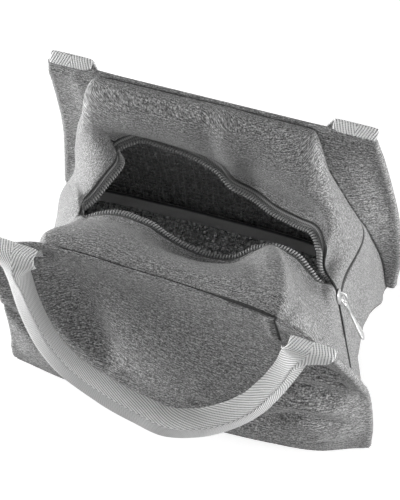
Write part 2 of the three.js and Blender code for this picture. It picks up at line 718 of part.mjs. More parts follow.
// Pull tab: a ring round the bridge, a narrow waist and a blade
const pullPivot = new THREE.Vector3(sliderMiddle + ringAhead, 0,
  plateTop + pullThickness / 2 + 2.5 * sliderClearance);

function pull() {
  const outline = new THREE.Shape();
  const ring = ringWidth / 2;
  const waist = waistWidth / 2;
  const blade = pullWidth / 2;
  const ringEnd = ringLength - ringBar;
  const neckStart = ringEnd + bladeShoulder;
  const neckEnd = neckStart + waistLength;
  const swell = pullLength * bladeSwell;
  const tipStart = pullLength - tipLength;
  outline.moveTo(-ringBar, -ring);
  outline.lineTo(ringEnd, -ring);
  outline.quadraticCurveTo(neckStart - 1, -ring, neckStart, -waist);
  outline.lineTo(neckEnd, -waist);
  outline.quadraticCurveTo(swell, -blade, tipStart, -blade);
  outline.quadraticCurveTo(pullLength, -blade, pullLength, 0);
  outline.quadraticCurveTo(pullLength, blade, tipStart, blade);
  outline.quadraticCurveTo(swell, blade, neckEnd, waist);
  outline.lineTo(neckStart, waist);
  outline.quadraticCurveTo(neckStart - 1, ring, ringEnd, ring);
  outline.lineTo(-ringBar, ring);
  outline.closePath();
  const eye = new THREE.Path();
  eye.moveTo(-ringEye.back, -ringEye.width / 2);
  eye.lineTo(ringEye.front, -ringEye.width / 2);
  eye.lineTo(ringEye.front, ringEye.width / 2);
  eye.lineTo(-ringEye.back, ringEye.width / 2);
  eye.closePath();
  outline.holes.push(eye);
  const settings = { depth: pullThickness, bevelEnabled: false, curveSegments: 6 };
  const blank = new THREE.ExtrudeGeometry(outline, settings).translate(0, 0, -pullThickness / 2);
  const tilt = new THREE.Matrix4().makeRotationY(-THREE.MathUtils.degToRad(pullLift));
  const place = new THREE.Matrix4().makeTranslation(...pullPivot.toArray());
  return blank.applyMatrix4(tilt.premultiply(place).premultiply(sliderFrame));
}

// Metal stop across the chain where the zip ends
function zipStopClip() {
  const lifted = stopPlace.clone().addScaledVector(down, 2 * layerGap - stopLength);
  const place = sliderFrame.clone().setPosition(lifted);
  const width = zipSlot - 0.4;
  return roundedPlate(stopLength, width, coilDepth, layerGap, -coilDepth - layerGap)
    .applyMatrix4(place);
}

// Materials
const finish = (color, roughness, metalness = 0) =>
  new THREE.MeshStandardMaterial({ color, roughness, metalness, side: THREE.DoubleSide });
const greyCloth = () => finish(0x6e6e6e, 0.9);
const whiteFoam = () => finish(0xdcdcdc, 0.8);
const foil = () => finish(0x4a4a4c, 0.35, 0.6);
const binding = () => finish(0x8c8c8c, 0.5);
const darkTape = () => finish(0x5a5a5a, 0.85);
const coilPlastic = () => finish(0x8a8a8a, 0.5);
const webbing = () => finish(0xd8d8d6, 0.85);
const zinc = () => finish(0xc8c8c8, 0.3, 0.9);

const bag = new THREE.Group();
function add(name, geometry, material) {
  const mesh = new THREE.Mesh(geometry, material);
  mesh.name = name;
  bag.add(mesh);
}

// The seam outline in the panel's plane, for cutting the lining from the facing
function seamPrism(panel, stations, grow) {
  const seamU = stations.map((station) => station.seam[0]);
  const seamW = stations.map((station) => station.seam[1]);
  const line = steps(0, 1, 40).map((x) => {
    const [u, w] = [ease(seamU, x), ease(seamW, x)];
    const p = panelPoint(panel, u, Math.max(w, 0));
    const inward = 1 - Math.abs(x - 0.5) * 2;
    return new THREE.Vector2(p.x - Math.sign(u) * grow, p.z - grow * inward);
  });
  line[0].y = -seat;
  line[line.length - 1].y = -seat;
  const prism = new THREE.ExtrudeGeometry(new THREE.Shape(line), {
    depth: baseDepth * 2, bevelEnabled: false,
  });
  return prism.rotateX(Math.PI / 2).translate(0, baseDepth, 0);
}

for (const [name, panel, stations] of [['front', front, frontBand], ['back', back, backBand]]) {
  add(`${name}_panel_cloth`, panelLayer(panel, 0, clothThickness), greyCloth());
  add(`${name}_panel_foam`,
    panelLayer(panel, foamDepth, foamThickness, panelColumns, foamRows), whiteFoam());
  const inner = solid(panelLayer(panel, liningDepth, liningThickness));
  const within = solid(seamPrism(panel, stations, layerGap / 2));
  const around = solid(seamPrism(panel, stations, -layerGap / 2));
  add(`${name}_panel_lining`, geometryOf(inner.intersect(within)), foil());
  add(`${name}_panel_facing`, geometryOf(inner.subtract(around)), greyCloth());
}

for (const half of ['front', 'back']) {
  add(`${half}_lip_cloth`, lipLayer(half, 'cloth', 0, clothThickness), greyCloth());
  add(`${half}_lip_foam`, lipLayer(half, 'foam', lipFoamDepth, lipFoamThickness), whiteFoam());
  add(`${half}_lip_lining`, lipLayer(half, 'lining', lipLiningDepth, liningThickness), foil());
  add(`${half}_zip_tape`, lipLayer(half, 'tape', tapeDepth, tapeThickness), darkTape());
  add(`${half}_zip_coil`, coil(half), coilPlastic());
}

const gussets = [['left', 0, zipStart - endGap], ['right', zipStop + endGap, lastStation]];
for (const [name, first, last] of gussets) {
  add(`${name}_gusset_cloth`, gussetLayer(first, last, 0, clothThickness), greyCloth());
  add(`${name}_gusset_foam`, gussetLayer(first, last, foamDepth, foamThickness), whiteFoam());
  add(`${name}_gusset_lining`, gussetLayer(first, last, liningDepth, liningThickness), foil());
}

const boardEdge = wallDepth + 2 * seamGap;
const bindingBottom = seat + foamThickness + liningThickness + 2 * layerGap;
add('base_cloth', extruded(baseOutline(0), 0, clothThickness), greyCloth());
add('base_foam', extruded(baseOutline(boardEdge), seat, foamThickness), whiteFoam());
add('base_lining',
  extruded(baseOutline(boardEdge), seat + foamThickness + layerGap, liningThickness), foil());
add('seam_binding', extruded(baseOutline(boardEdge), bindingBottom, clothThickness,
  baseOutline(boardEdge + bindingWidth)), binding());

add('front_handle', handle(front, frontLoop), webbing());
add('back_handle', handle(back, backLoop), webbing());
for (const [name, panel] of [['front', front], ['back', back]]) {
  add(`${name}_left_handle_end`, handleEnd(panel, -1), webbing());
  add(`${name}_right_handle_end`, handleEnd(panel, 1), webbing());
}
add('zip_slider', slider(), zinc());
add('zip_pull', pull(), zinc());
add('zip_stop', zipStopClip(), zinc());

export default bag;
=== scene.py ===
import math

import bpy
import numpy as np
from mathutils import Matrix, Vector


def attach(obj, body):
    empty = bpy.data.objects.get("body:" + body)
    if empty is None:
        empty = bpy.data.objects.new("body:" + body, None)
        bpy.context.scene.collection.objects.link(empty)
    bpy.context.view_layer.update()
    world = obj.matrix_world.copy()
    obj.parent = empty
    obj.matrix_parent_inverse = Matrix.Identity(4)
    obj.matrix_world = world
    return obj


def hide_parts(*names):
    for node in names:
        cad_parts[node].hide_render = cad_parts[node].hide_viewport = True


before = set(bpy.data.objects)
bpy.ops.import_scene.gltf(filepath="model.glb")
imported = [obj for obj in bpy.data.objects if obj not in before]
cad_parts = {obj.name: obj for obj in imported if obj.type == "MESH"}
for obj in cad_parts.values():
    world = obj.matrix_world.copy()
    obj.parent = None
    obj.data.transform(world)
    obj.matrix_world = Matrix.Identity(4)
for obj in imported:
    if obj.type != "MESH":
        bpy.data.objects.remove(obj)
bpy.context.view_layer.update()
MM = 0.001

# Sizes of the bag, and how far its front stands to the right and its top to the back
BASE_LENGTH, BASE_DEPTH, TOP_LENGTH, TOP_DEPTH, HEIGHT = 252, 138, 200, 128, 192
RACK, LEAN = 4.5, 4.5
# Layers of a wall, and how deep each lies below the outer face
CLOTH, FOAM, LIP_FOAM, LINING, GAP, SEAM_GAP = 0.8, 3.0, 0.9, 0.8, 0.3, 0.5
SEAT = FOAM_DEPTH = CLOTH + GAP
LINING_DEPTH = FOAM_DEPTH + FOAM + GAP
WALL_DEPTH = LINING_DEPTH + LINING
SEAM_DEPTH = WALL_DEPTH + SEAM_GAP
# The zip, with the width of tape that each lip leaves open to view
TAPE_WIDTH, TAPE = 10.5, 0.6
COIL_RADIUS, COIL_DEPTH, COIL_INSET, ZIP_SLOT = 1.15, 2.5, 1.5, 2.4
TAPE_DEPTH = COIL_DEPTH - TAPE / 2
LIP_LINING_DEPTH = TAPE_DEPTH + TAPE + 1.5 * GAP
TAPE_SHOWN = {1: 6.5, -1: 4.7}
COIL_PITCH, COIL_WIRE, COIL_ACROSS, COIL_HIGH = 1.8, 0.56, 1.4, 0.9
SLIDER_LENGTH, SLIDER_WIDTH, SLIDER_PLATE, CLEAR = 10, 8, 1.1, 0.4
SLIDER_MIDDLE = SLIDER_LENGTH / 2 + 1
PULL_LENGTH, PULL, PULL_LIFT = 36, 1.2, math.radians(14)
# Handles, their roots on the top edges, and the binding of the floor
WEBBING_WIDTH, WEBBING = 25, 1.5
ROOT_SPAN, HANDLE_DROP, HANDLE_TUCK = 175, 115, 18
ROOT_HEIGHT = HEIGHT + GAP + WEBBING / 2
BINDING_WIDTH, BINDING, BINDING_CROWN = 8, 0.8, 0.35
# The distance that is noted where no seam or sharp crease is near
FAR = 9.0

# How far the sides bow to the right, and how far each panel stands out of its plane: rows from
# the base up, columns from left to right. 1 is the back and -1 the front.
BACK_BOW = [0, 2.5, 4, 2.5, 0]
BACK_END_BOW = [0.5, 2.5, 0, -1.7, -1.9]
FRONT_END_BOW = [3, 8, 8.8, 6, 0]
SLACK = {1: [
    [0, 3, 4, 5, 5, 5, 4, 0, -14],
    [0, 2, 4, 6, 6, 5, 2, -5, -10],
    [0, 0, 2, 4, 4, 3, -2, -11, -5],
    [0, -1, 0, 2, 2, 1, -1, -6, -1],
    [0, 0, 0, 0, 0, 0, 0, 0, 0],
], -1: [
    [4, 8, 11, 13, 14, 13, 11, 7, -4],
    [5, 8, 11, 15, 17, 17, 15, 10, -4],
    [2, -4, -4, 0, 5, 8, 8, 4, -5],
    [-3, -13, -17, -14, -10, -7, -4, -3, -1.5],
    [-6.5, -13, -14.5, -13.5, -13, -11.5, -9.5, -5.5, 5],
]}

# The zip band at each station: where a half meets its panel (u, w), how far it puffs out, and where
# its free edge lies (u, v, w). Where the zip is closed, both halves share the back's edge.
BAND = {1: [
    (-0.97, 0, 2, -0.995, 0.05, 0), (-0.955, 0.1, 3, -0.93, 0.02, 0.2),
    (-0.94, 0.19, 5, -0.83, -0.05, 0.47), (-0.915, 0.28, 6, -0.69, -0.1, 0.7),
    (-0.88, 0.42, 5, -0.639, -0.03, 0.722), (-0.85, 0.56, 4, -0.563, 0.2, 0.743),
    (-0.81, 0.7, 3, -0.5, 0.42, 0.745), (-0.75, 0.82, 2, -0.5, 0.62, 0.72),
    (-0.66, 0.91, 0, -0.45, 0.715, 0.722), (-0.5, 0.955, 0, -0.34, 0.745, 0.727),
    (-0.3, 0.965, 0, -0.16, 0.725, 0.727), (-0.1, 0.965, 1, 0.017, 0.637, 0.727),
    (0.08, 0.965, 2, 0.126, 0.527, 0.72), (0.25, 0.965, 2, 0.25, 0.498, 0.697),
    (0.42, 0.955, 2, 0.39, 0.394, 0.7), (0.58, 0.93, 2, 0.548, 0.32, 0.712),
    (0.68, 0.84, 2, 0.642, 0.27, 0.727), (0.74, 0.73, 2, 0.7, 0.13, 0.72),
    (0.79, 0.6, 1, 0.759, -0.03, 0.703), (0.84, 0.48, 0, 0.841, -0.128, 0.688),
    (0.87, 0.37, 4, 0.867, -0.32, 0.508), (0.91, 0.25, 5, 0.896, -0.517, 0.328),
    (0.95, 0.12, 2, 0.9, -0.2, 0.15), (0.975, 0, 1, 0.846, 0.14, 0),
], -1: [
    (-0.97, 0, 0), (-0.94, 0.24, 0), (-0.9, 0.48, 0), (-0.84, 0.7, 0),
    (-0.76, 0.85, 3, -0.575, -0.02, 0.735), (-0.66, 0.93, 4, -0.486, 0.025, 0.75),
    (-0.54, 0.955, 4, -0.402, 0.039, 0.755), (-0.42, 0.965, 4, -0.32, 0.025, 0.757),
    (-0.3, 0.965, 4, -0.233, 0.008, 0.755), (-0.18, 0.965, 4, -0.155, -0.035, 0.75),
    (-0.05, 0.965, 4, -0.078, -0.072, 0.745), (0.08, 0.965, 4, 0.02, -0.1, 0.735),
    (0.2, 0.965, 4, 0.12, -0.111, 0.729), (0.32, 0.965, 4, 0.25, -0.074, 0.729),
    (0.44, 0.96, 4, 0.36, 0.043, 0.745), (0.55, 0.95, 4, 0.479, 0.106, 0.757),
    (0.66, 0.92, 4, 0.61, 0.086, 0.75), (0.74, 0.85, 4, 0.7, 0.0, 0.735),
    (0.8, 0.74, 3, 0.765, -0.075, 0.715), (0.84, 0.61, 2), (0.87, 0.48, 2),
    (0.9, 0.34, 2), (0.94, 0.17, 2), (0.965, 0, 2),
]}
ZIP_START, SLIDER, ZIP_STOP, LAST = 3, 19, 21, 23
# Small bends in the zip's edges: station, width in stations, and how far they move
EDGE_KINKS = {1: [(4.6, 0.8, (1.5, -0.5, 0)), (7.15, 0.42, (-6, -1.5, 0)), (7.9, 0.7, (0, 2.6, 0))],
              -1: []}
# Bulges of the band: station, its width, share of the way to the seam, its width, and the move
BULGES = {1: [(23, 1.5, 0.82, 0.18, (5, -1, 0)), (21.5, 1.0, 0.28, 0.25, (-6, 0, 0))], -1: []}


def spread_out(*values):
    """Numbers or arrays as arrays of one shape."""
    return np.broadcast_arrays(*(np.asarray(value, float) for value in values))


def unit(v):
    return v / np.maximum(np.linalg.norm(v, axis=-1, keepdims=True), 1e-9)


def smoothstep(x, a, b):
    t = np.clip((np.asarray(x, float) - a) / (b - a), 0, 1)
    return t * t * (3 - 2 * t)


def cubic(a, b, c, d, f):
    """The smooth curve through four even steps, at a share f of the way from b to c."""
    return b + 0.5 * f * (c - a + f * (2 * a - 5 * b + 4 * c - d + f * (3 * (b - c) + d - a)))


def spans(last, x):
    """The step that each x in 0..1 falls in, and how far into it."""
    i = np.clip(np.floor(x * last).astype(int), 0, last - 1)
    return i, x * last - i


def ease(values, x):
    """Smooth value at x in 0..1 through values set at even steps."""
    values, x = np.asarray(values, float), np.asarray(x, float)
    last = len(values) - 1
    i, f = spans(last, x)
    picks = [values[np.clip(i + k, 0, last)] for k in (-1, 0, 1, 2)]
    return cubic(*picks, f.reshape(f.shape + (1,) * (values.ndim - 1)))


def at(u, v, w):
    """A place in the bag: u from left to right, v from front to back, w from the base to the top."""
    u, v, w = spread_out(u, v, w)
    end = np.maximum(u, 0)
    back_bow = v * (ease(BACK_BOW, w) + end * ease(BACK_END_BOW, w))
    bow = np.where(v > 0, back_bow, -v * end * ease(FRONT_END_BOW, w))
    x = u * (BASE_LENGTH + (TOP_LENGTH - BASE_LENGTH) * w) / 2 - RACK * v + bow
    y = v * (BASE_DEPTH + (TOP_DEPTH - BASE_DEPTH) * w) / 2 + LEAN * w
    return np.stack([x, y, SEAT + w * (HEIGHT - SEAT)], -1)


def panel_point(side, u, w):
    u, w = spread_out(u, w)
    point = at(u, side, w)
    rows = np.array([ease(row, (u + 1) / 2) for row in SLACK[side]])
    last = len(rows) - 1
    i, f = spans(last, w)
    picks = [np.take_along_axis(rows, np.clip(i + k, 0, last)[None], 0)[0] for k in (-1, 0, 1, 2)]
    point[..., 1] += side * cubic(*picks, f)
    return point


def panel_normal(side, u, w, step=0.01):
    along_u = panel_point(side, u + step, w) - panel_point(side, u - step, w)
    along_w = panel_point(side, u, w + step) - panel_point(side, u, w - step)
    return unit(np.cross(along_u, along_w)) * -side


def on_seat(points):
    points[..., 2] = np.maximum(points[..., 2], SEAT)
    return points


def in_panel(side, u, w, depth):
    """A point that lies a depth below the panel's outer face."""
    depth = np.asarray(depth)[..., None]
    return on_seat(panel_point(side, u, w) - panel_normal(side, u, w) * depth)


# The slider's own directions: down the closed chain, outward, and across from front to back
SLIDER_PLACE = at(*BAND[1][SLIDER][3:])
STOP_PLACE = at(*BAND[1][ZIP_STOP][3:])
DOWN = unit(STOP_PLACE - SLIDER_PLACE)
OUTWARD = np.array([0.976, 0.094, 0.185]) - 0.01 * DOWN
OUTWARD = unit(OUTWARD - (OUTWARD @ DOWN) * DOWN)
ACROSS = unit(np.cross(OUTWARD, DOWN))


# The shares of the band's width at which it leaves the zip, ends its shelf, puffs out, stands off
# its panel and meets its seam
BAND_SPOTS = np.array([0, 0.15, 0.52, 0.88, 1])
SHELF_WIDTH, SLIDER_SHELF, SHELF_SHARE, SHELF_RISE = 10, 8, 0.4, 0.25
SEAM_STAND, KINK_SHARE = 8, 0.7


def seam_line(side, x):
    """Where the band is sewn to its panel, as u and w, at shares x of its length."""
    u, w = (ease([row[i] for row in BAND[side]], x) for i in range(2))
    return u, np.maximum(w, 0)


def seam_place(side, s, depth):
    return in_panel(side, *seam_line(side, np.asarray(s, float) / LAST), depth)


def zip_edges(side):
    """The free edge of one half of the band at each station."""
    edges = []
    for k in range(LAST + 1):
        closed = k <= ZIP_START or k >= SLIDER
        edge = at(*BAND[1 if closed else side][k][3:])
        edges.append(edge + side * ZIP_SLOT / 2 * (ACROSS if k > ZIP_START else np.array([0, 1, 0])))
    edges[SLIDER + 1] = (edges[SLIDER] + edges[ZIP_STOP]) / 2
    return np.array(edges)


def shelf_ends(side, edges):
    """Where the shelf behind the free edge ends at each station."""
    ends = []
    for k in range(LAST + 1):
        if SLIDER - 1 <= k <= ZIP_STOP:
            ends.append(edges[k] + ACROSS * side * SLIDER_SHELF)
            continue
        to_seam = seam_place(side, k, SEAM_DEPTH) - edges[k]
        to_seam[2] = 0
        run = edges[min(k + 1, LAST)] - edges[max(k - 1, 0)]
        square = unit(np.array([-run[1], run[0], 0]) * side)
        turned = 0.5 if ZIP_START + 1 < k < SLIDER - 1 else 0
        room = abs(to_seam[1]) * SHELF_SHARE
        shelf = unit(unit(to_seam) * (1 - turned) + square * turned)
        shelf[2] = SHELF_RISE
        ends.append(edges[k] + shelf * min(SHELF_WIDTH, room / abs(shelf[1])))
    return np.array(ends)


def band_half(side):
    """The surface of one half of the band: s along it, q from its free edge to its seam."""
    edges = zip_edges(side)
    near = shelf_ends(side, edges)
    puffs = [row[2] for row in BAND[side]]

    def kinked(s):
        shift = sum(np.exp(-((s - place) / width) ** 2)[..., None] * np.array(move)
                    for place, width, move in EDGE_KINKS[side])
        return ease(edges, s / LAST) + shift

    def edge_place(s):
        part = ((s - SLIDER) / (ZIP_STOP - SLIDER))[..., None]
        line = edges[SLIDER] * (1 - part) + edges[ZIP_STOP] * part
        return np.where((part > 0) & (part < 1), line, kinked(s))

    def half(s, q):
        s, q = spread_out(s, np.abs(q))
        close = ease(near, s / LAST) + KINK_SHARE * (kinked(s) - ease(edges, s / LAST))
        lift = seam_place(side, s, SEAM_DEPTH + SEAM_STAND)
        end = (smoothstep(np.abs(s - LAST / 2), 6, 10) * np.sign(s - 12))[..., None]
        lean_out = np.concatenate([end, 0 * end, 1 - np.abs(end)], -1)
        middle = (close + lift) / 2 + lean_out * ease(puffs, s / LAST)[..., None]
        p = np.array([edge_place(s), close, middle, lift, seam_place(side, s, SEAM_DEPTH)])
        spots, beside = BAND_SPOTS, ((0, 1), (0, 2), (1, 3), (2, 4), (3, 4))
        slopes = np.array([(p[b] - p[a]) / (spots[b] - spots[a]) for a, b in beside])
        i = np.clip(np.searchsorted(spots, q, "left") - 1, 0, len(spots) - 2)
        span = (spots[i + 1] - spots[i])[..., None]
        f = (q - spots[i])[..., None] / span
        pick = lambda values, j: np.take_along_axis(values, j[None, ..., None], 0)[0]
        f2, f3 = f * f, f * f * f
        point = (pick(p, i) * (2 * f3 - 3 * f2 + 1) + pick(slopes, i) * (f3 - 2 * f2 + f) * span
                 + pick(p, i + 1) * (3 * f2 - 2 * f3) + pick(slopes, i + 1) * (f3 - f2) * span)
        for place, width, share, reach, move in BULGES[side]:
            size = np.exp(-((s - place) / width) ** 2 - ((q - share) / reach) ** 2)
            point = point + (size * np.sin(np.pi * np.minimum(q, 1)))[..., None] * np.array(move)
        return point

    return half


def whole_band(s, q):
    """q from -1 at the front seam through 0 at the zip to 1 at the back seam."""
    s, q = spread_out(s, q)
    return np.where((q < 0)[..., None], HALF[-1](s, q), HALF[1](s, q))


HALF = {1: band_half(1), -1: band_half(-1), 0: whole_band}


def band_normal(s, q, side):
    point, low, high = HALF[side], (0 if side > 0 else -1), (0 if side < 0 else 1)
    s, q = spread_out(s, q)
    along_s = point(np.minimum(s + 0.45, LAST), q) - point(np.maximum(s - 0.45, 0), q)
    along_q = point(s, np.minimum(q + 0.04, high)) - point(s, np.maximum(q - 0.04, low))
    return unit(np.cross(along_s, along_q))


def spot_at(side, s, distance):
    """Curve parameters at a distance from the free edge, measured square to that edge."""
    q = np.linspace(0, 1, 81)
    line = HALF[side](s[:, None], q[None])
    along = unit(HALF[side](np.minimum(s + 0.1, LAST), 0) - HALF[side](np.maximum(s - 0.1, 0), 0))
    apart = np.diff(line, axis=1)
    apart = apart - (apart @ along[:, :, None]) * along[:, None]
    runs = np.concatenate([np.zeros((len(s), 1)), np.linalg.norm(apart, axis=-1).cumsum(1)], 1)
    wanted = np.broadcast_to(distance, s.shape)
    return np.array([np.interp(d, run, q) for d, run in zip(wanted, runs)])


# How high up its panel a lip's seam is drawn, and how far out towards the panel's outer face
HEM_SHARE, HEM_REACH = 0.99, 3.4


def to_hem(side, s, q):
    """How far a lip's seam is drawn up behind the top edge of its panel."""
    seam_u, seam_w = seam_line(side, s / LAST)
    top = smoothstep(seam_w, 0.8, 0.9)
    sewn = seam_place(side, s, SEAM_DEPTH)
    drawn = in_panel(side, seam_u, seam_w + (HEM_SHARE - seam_w) * top, SEAM_DEPTH - HEM_REACH * top)
    return (drawn - sewn) * smoothstep(q, 0.6, 1.0)[..., None]


def placed(name, data):
    """A new object in the scene."""
    obj = bpy.data.objects.new(name, data)
    bpy.context.scene.collection.objects.link(obj)
    return obj


def build(name, points, faces, uv, material, body="bag"):
    """A mesh piece from points in millimetres, riding on its body. uv is its place on the cloth, and
    perhaps the distance to the nearest seam or sharp crease, which the materials use for painted shade."""
    mesh = bpy.data.meshes.new(name)
    points = np.maximum(points, (-np.inf, -np.inf, 0))
    mesh.from_pydata((points * MM).tolist(), [], [tuple(f) for f in faces])
    corners = np.zeros(len(mesh.loops), np.int32)
    mesh.loops.foreach_get("vertex_index", corners)
    seam = uv[:, [2, 2]] if uv.shape[1] > 2 else np.full((len(uv), 2), FAR)
    for layer, values in (("cloth", uv[:, :2]), ("seam", seam)):
        data = mesh.uv_layers.new(name=layer).data
        data.foreach_set("uv", (values[corners] * MM).astype(np.float32).ravel())
    mesh.shade_smooth()
    mesh.materials.append(material)
    mesh.update()
    obj = placed(name, mesh)
    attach(obj, body)
    return obj


def faces_out(points, faces):
    """The faces, turned round if the body they close is inside out."""
    a, b, c, d = (points[faces[:, i]] for i in range(4))
    volume = (np.cross(b - a, c - a) * a).sum() + (np.cross(c - a, d - a) * a).sum()
    return faces if volume > 0 else faces[:, ::-1]


def border(rows, columns):
    """The places round the edge of a grid, as their rows and their columns."""
    there = [(0, c) for c in range(columns)] + [(r, columns - 1) for r in range(1, rows)]
    back = [(rows - 1, c) for c in range(columns - 2, -1, -1)]
    return np.array(there + back + [(r, 0) for r in range(rows - 2, 0, -1)]).T


def slab(outer, inner, uv, rim=3):
    """A closed sheet between two grids of points, with rounded rims: points, faces and uv."""
    rows, columns = outer.shape[:2]
    r, c = border(rows, columns)
    back_r, back_c = np.clip(r, 1, rows - 2), np.clip(c, 1, columns - 2)
    a, b = outer[r, c], inner[r, c]
    away = unit((a + b) - (outer[back_r, back_c] + inner[back_r, back_c]))
    half = np.linalg.norm(a - b, axis=-1, keepdims=True) / 2
    loops = [(a + b) / 2 + (a - b) / 2 * math.cos(t) + away * half * math.sin(t)
             for t in np.linspace(0, math.pi, rim + 2)[1:-1]]
    points = np.concatenate([outer.reshape(-1, 3), inner.reshape(-1, 3), *loops])
    flat = uv.reshape(-1, uv.shape[-1])
    onward = uv[r, c] - uv[back_r, back_c]
    onward[:, 2:] = 0
    onward = unit(onward) * half * math.pi / (rim + 1)
    maps = np.concatenate([flat, flat] + [uv[r, c] + onward * (k + 1) for k in range(rim)])
    ids = np.arange(rows * columns).reshape(rows, columns)
    quads = np.stack([ids[:-1, :-1], ids[:-1, 1:], ids[1:, 1:], ids[1:, :-1]], -1).reshape(-1, 4)
    ring = ids[r, c]
    chain = [ring, *2 * ids.size + np.arange(rim * len(ring)).reshape(rim, -1), ring + ids.size]
    faces = [quads, quads[:, ::-1] + ids.size]
    faces += [np.stack([np.roll(a, -1), a, b, np.roll(b, -1)], -1) for a, b in zip(chain, chain[1:])]
    return points, faces_out(points, np.concatenate(faces)), maps


def folds(p, creases):
    """How far creases lift the places p on the cloth, and how far off the nearest sharp one is."""
    total = np.zeros(p.shape[:-1])
    sharp = np.full(p.shape[:-1], FAR)
    flat = p.reshape(-1, 2)
    for line, height, left, right in creases:
        x = np.linspace(0, 1, (12 if right else 60) * len(line))
        path = ease(line, x)
        ahead = unit(np.gradient(path, axis=0))
        away = flat[:, None] - path
        d2 = (away ** 2).sum(-1)
        nearest = d2.argmin(1)
        pick = np.arange(len(flat)), nearest
        on_left = ahead[nearest, 0] * away[pick][:, 1] > ahead[nearest, 1] * away[pick][:, 0]
        reach = np.sqrt(d2[pick])
        d = reach / np.where(on_left, left, right or left)
        along = np.sin(np.pi * np.clip(x[nearest], 0.02, 0.98)) ** 0.6
        shape = np.exp(-d * d) if right else np.exp(-d)
        total += (height * along * shape).reshape(total.shape)
        if not right:
            sharp = np.minimum(sharp, reach.reshape(total.shape))
    return total, sharp


def grid(rows, columns):
    """Row and column values as two grids of the same shape."""
    return np.meshgrid(rows, columns, indexing="ij")


def steps(*runs):
    """Even steps through runs that follow each other, each given as first, last and count."""
    return np.concatenate([np.linspace(*run)[:-1] for run in runs] + [[runs[-1][1]]])


def walked(points, axis):
    """Distance walked along one axis of a grid of points."""
    apart = np.linalg.norm(np.diff(points, axis=axis), axis=-1)
    start = np.zeros_like(np.take(apart, [0], axis))
    return np.concatenate([start, apart.cumsum(axis)], axis)


def inside_arch(side, u, w):
    """Distance in millimetres inside the arch that the band is sewn along, below 0 outside it."""
    line = np.stack(seam_line(side, np.linspace(0, 1, 240)), -1)
    scale = np.array([BASE_LENGTH / 2, HEIGHT])
    flat = np.stack([u, w], -1)[..., None, :] * scale
    d = np.linalg.norm(flat - line * scale, axis=-1).min(-1)
    return np.where(w < np.interp(u, line[:, 0], line[:, 1]), d, -d)


def cloth_place(u, w):
    """Where a panel's point lies on its flat cloth, in millimetres."""
    return np.stack([u * (BASE_LENGTH + (TOP_LENGTH - BASE_LENGTH) * w) / 2, w * HEIGHT], -1)


def panel_lift(side, u, w):
    return folds(cloth_place(u, w), PANEL_FOLDS[side])


# How thick the top edge is over the mouth. Webbing is sewn in further out, and makes it thicker.
HEM = 1.9
# The share of a crease that shows inside, and how the weave is drawn in on each cloth
FOLD_INSIDE = 0.6
COVER_GRAIN, LINING_GRAIN, BAND_GRAIN = np.array([0.9, 0.45]), np.array([1, 0.62]), 1.15


def make_cover(side, name):
    """The padded panel: cloth outside, over the top and down to the arch seam inside."""
    w, u = grid(steps((0, 0.9, 81), (0.9, 1, 22)), np.linspace(-1, 1, 151))
    lift, sharp = panel_lift(side, u, w)
    normal = panel_normal(side, u, w)
    inside = inside_arch(side, u, w)
    depth = WALL_DEPTH - (WALL_DEPTH - LINING_DEPTH + 0.2) * smoothstep(inside, 0.5, 3)
    depth += 0.9 * np.exp(-((inside + 1.2) / 1.3) ** 2)
    hem = smoothstep(w, 0.92, 0.995)
    depth = depth * (1 - hem) + (HEM + WEBBING * smoothstep(np.abs(u), 0.6, 0.7)) * hem
    base = panel_point(side, u, w)
    outer = on_seat(base + normal * lift[..., None])
    inner = on_seat(base + normal * (lift * FOLD_INSIDE - depth)[..., None])
    # The distance to a sharp crease goes with the cloth's place, for painted shade along the crease.
    place = np.concatenate([cloth_place(u, w) * COVER_GRAIN, sharp[..., None]], -1)
    cover = build(name, *slab(outer, inner, place, rim=5), CLOTH_LOOK)
    return cover


def make_panel_lining(side, name):
    s, t = grid(np.linspace(0, LAST, 121), np.linspace(0, 0.99, 61))
    seam_u, seam_w = seam_line(side, s / LAST)
    foot = -0.955 + 1.91 * s / LAST
    u = foot * (1 - t) + seam_u * t * 0.995
    w = seam_w * t * 0.992 + 0.012
    lift = panel_lift(side, u, w)[0] * FOLD_INSIDE
    normal = panel_normal(side, u, w)
    near = panel_point(side, u, w) + normal * (lift - LINING_DEPTH)[..., None]
    far = near - normal * LINING
    place = cloth_place(u, w) * LINING_GRAIN
    return build(name, *slab(near, far, place), FOIL_LOOK)


def band_piece(side, s, q, depths, name, look, lift=None):
    """A sheet of the band between two depths; s runs down its rows and q across its columns."""
    normal = band_normal(s, (side or 1) * q, side)
    base = HALF[side](s, q)
    flat = np.stack([walked(base, 0).mean(1, keepdims=True) + 0 * s, walked(base, 1)], -1)
    raised = base
    if lift is not None:
        rise, sharp = lift(flat, s, q)
        raised = base + normal * rise[..., None]
        if side:
            raised = raised + to_hem(side, s, q)
        run = walked(raised, 1)
        to_seam = run.max(1, keepdims=True) - run
        # The distance to the seam or a sharp crease goes with the cloth's place, for painted shade near
        # them.
        flat = np.concatenate([flat * BAND_GRAIN, np.minimum(sharp, to_seam)[..., None]], -1)
    outer, inner = (on_seat(raised - normal * depth) for depth in depths)
    return build(name, *slab(outer, inner, flat), look)


def shown_tape(side, s):
    opening = smoothstep(s, ZIP_START + 0.06, ZIP_START + 1)
    closing = 1 - smoothstep(s, SLIDER - 1.5, SLIDER - 0.2)
    return TAPE_SHOWN[side] * np.minimum(opening, closing)


def spread(s, first, last, count):
    """Grids of s and q: q runs from first to last, which may be given at each s."""
    t = np.linspace(0, 1, count)
    return spread_out(s[:, None], np.outer(first, 1 - t) + np.outer(last, t))


def make_walls(side, name, places, depths, lift):
    """The padded cloth and the foil of a lip or gusset, each with its own places and depths."""
    cover = band_piece(side, *places[0], depths[0], name, CLOTH_LOOK, lift)
    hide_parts(f"{name}_cloth", f"{name}_foam")
    lining = band_piece(side, *places[1], depths[1], f"{name}_foil", FOIL_LOOK, lift)
    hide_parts(f"{name}_lining")


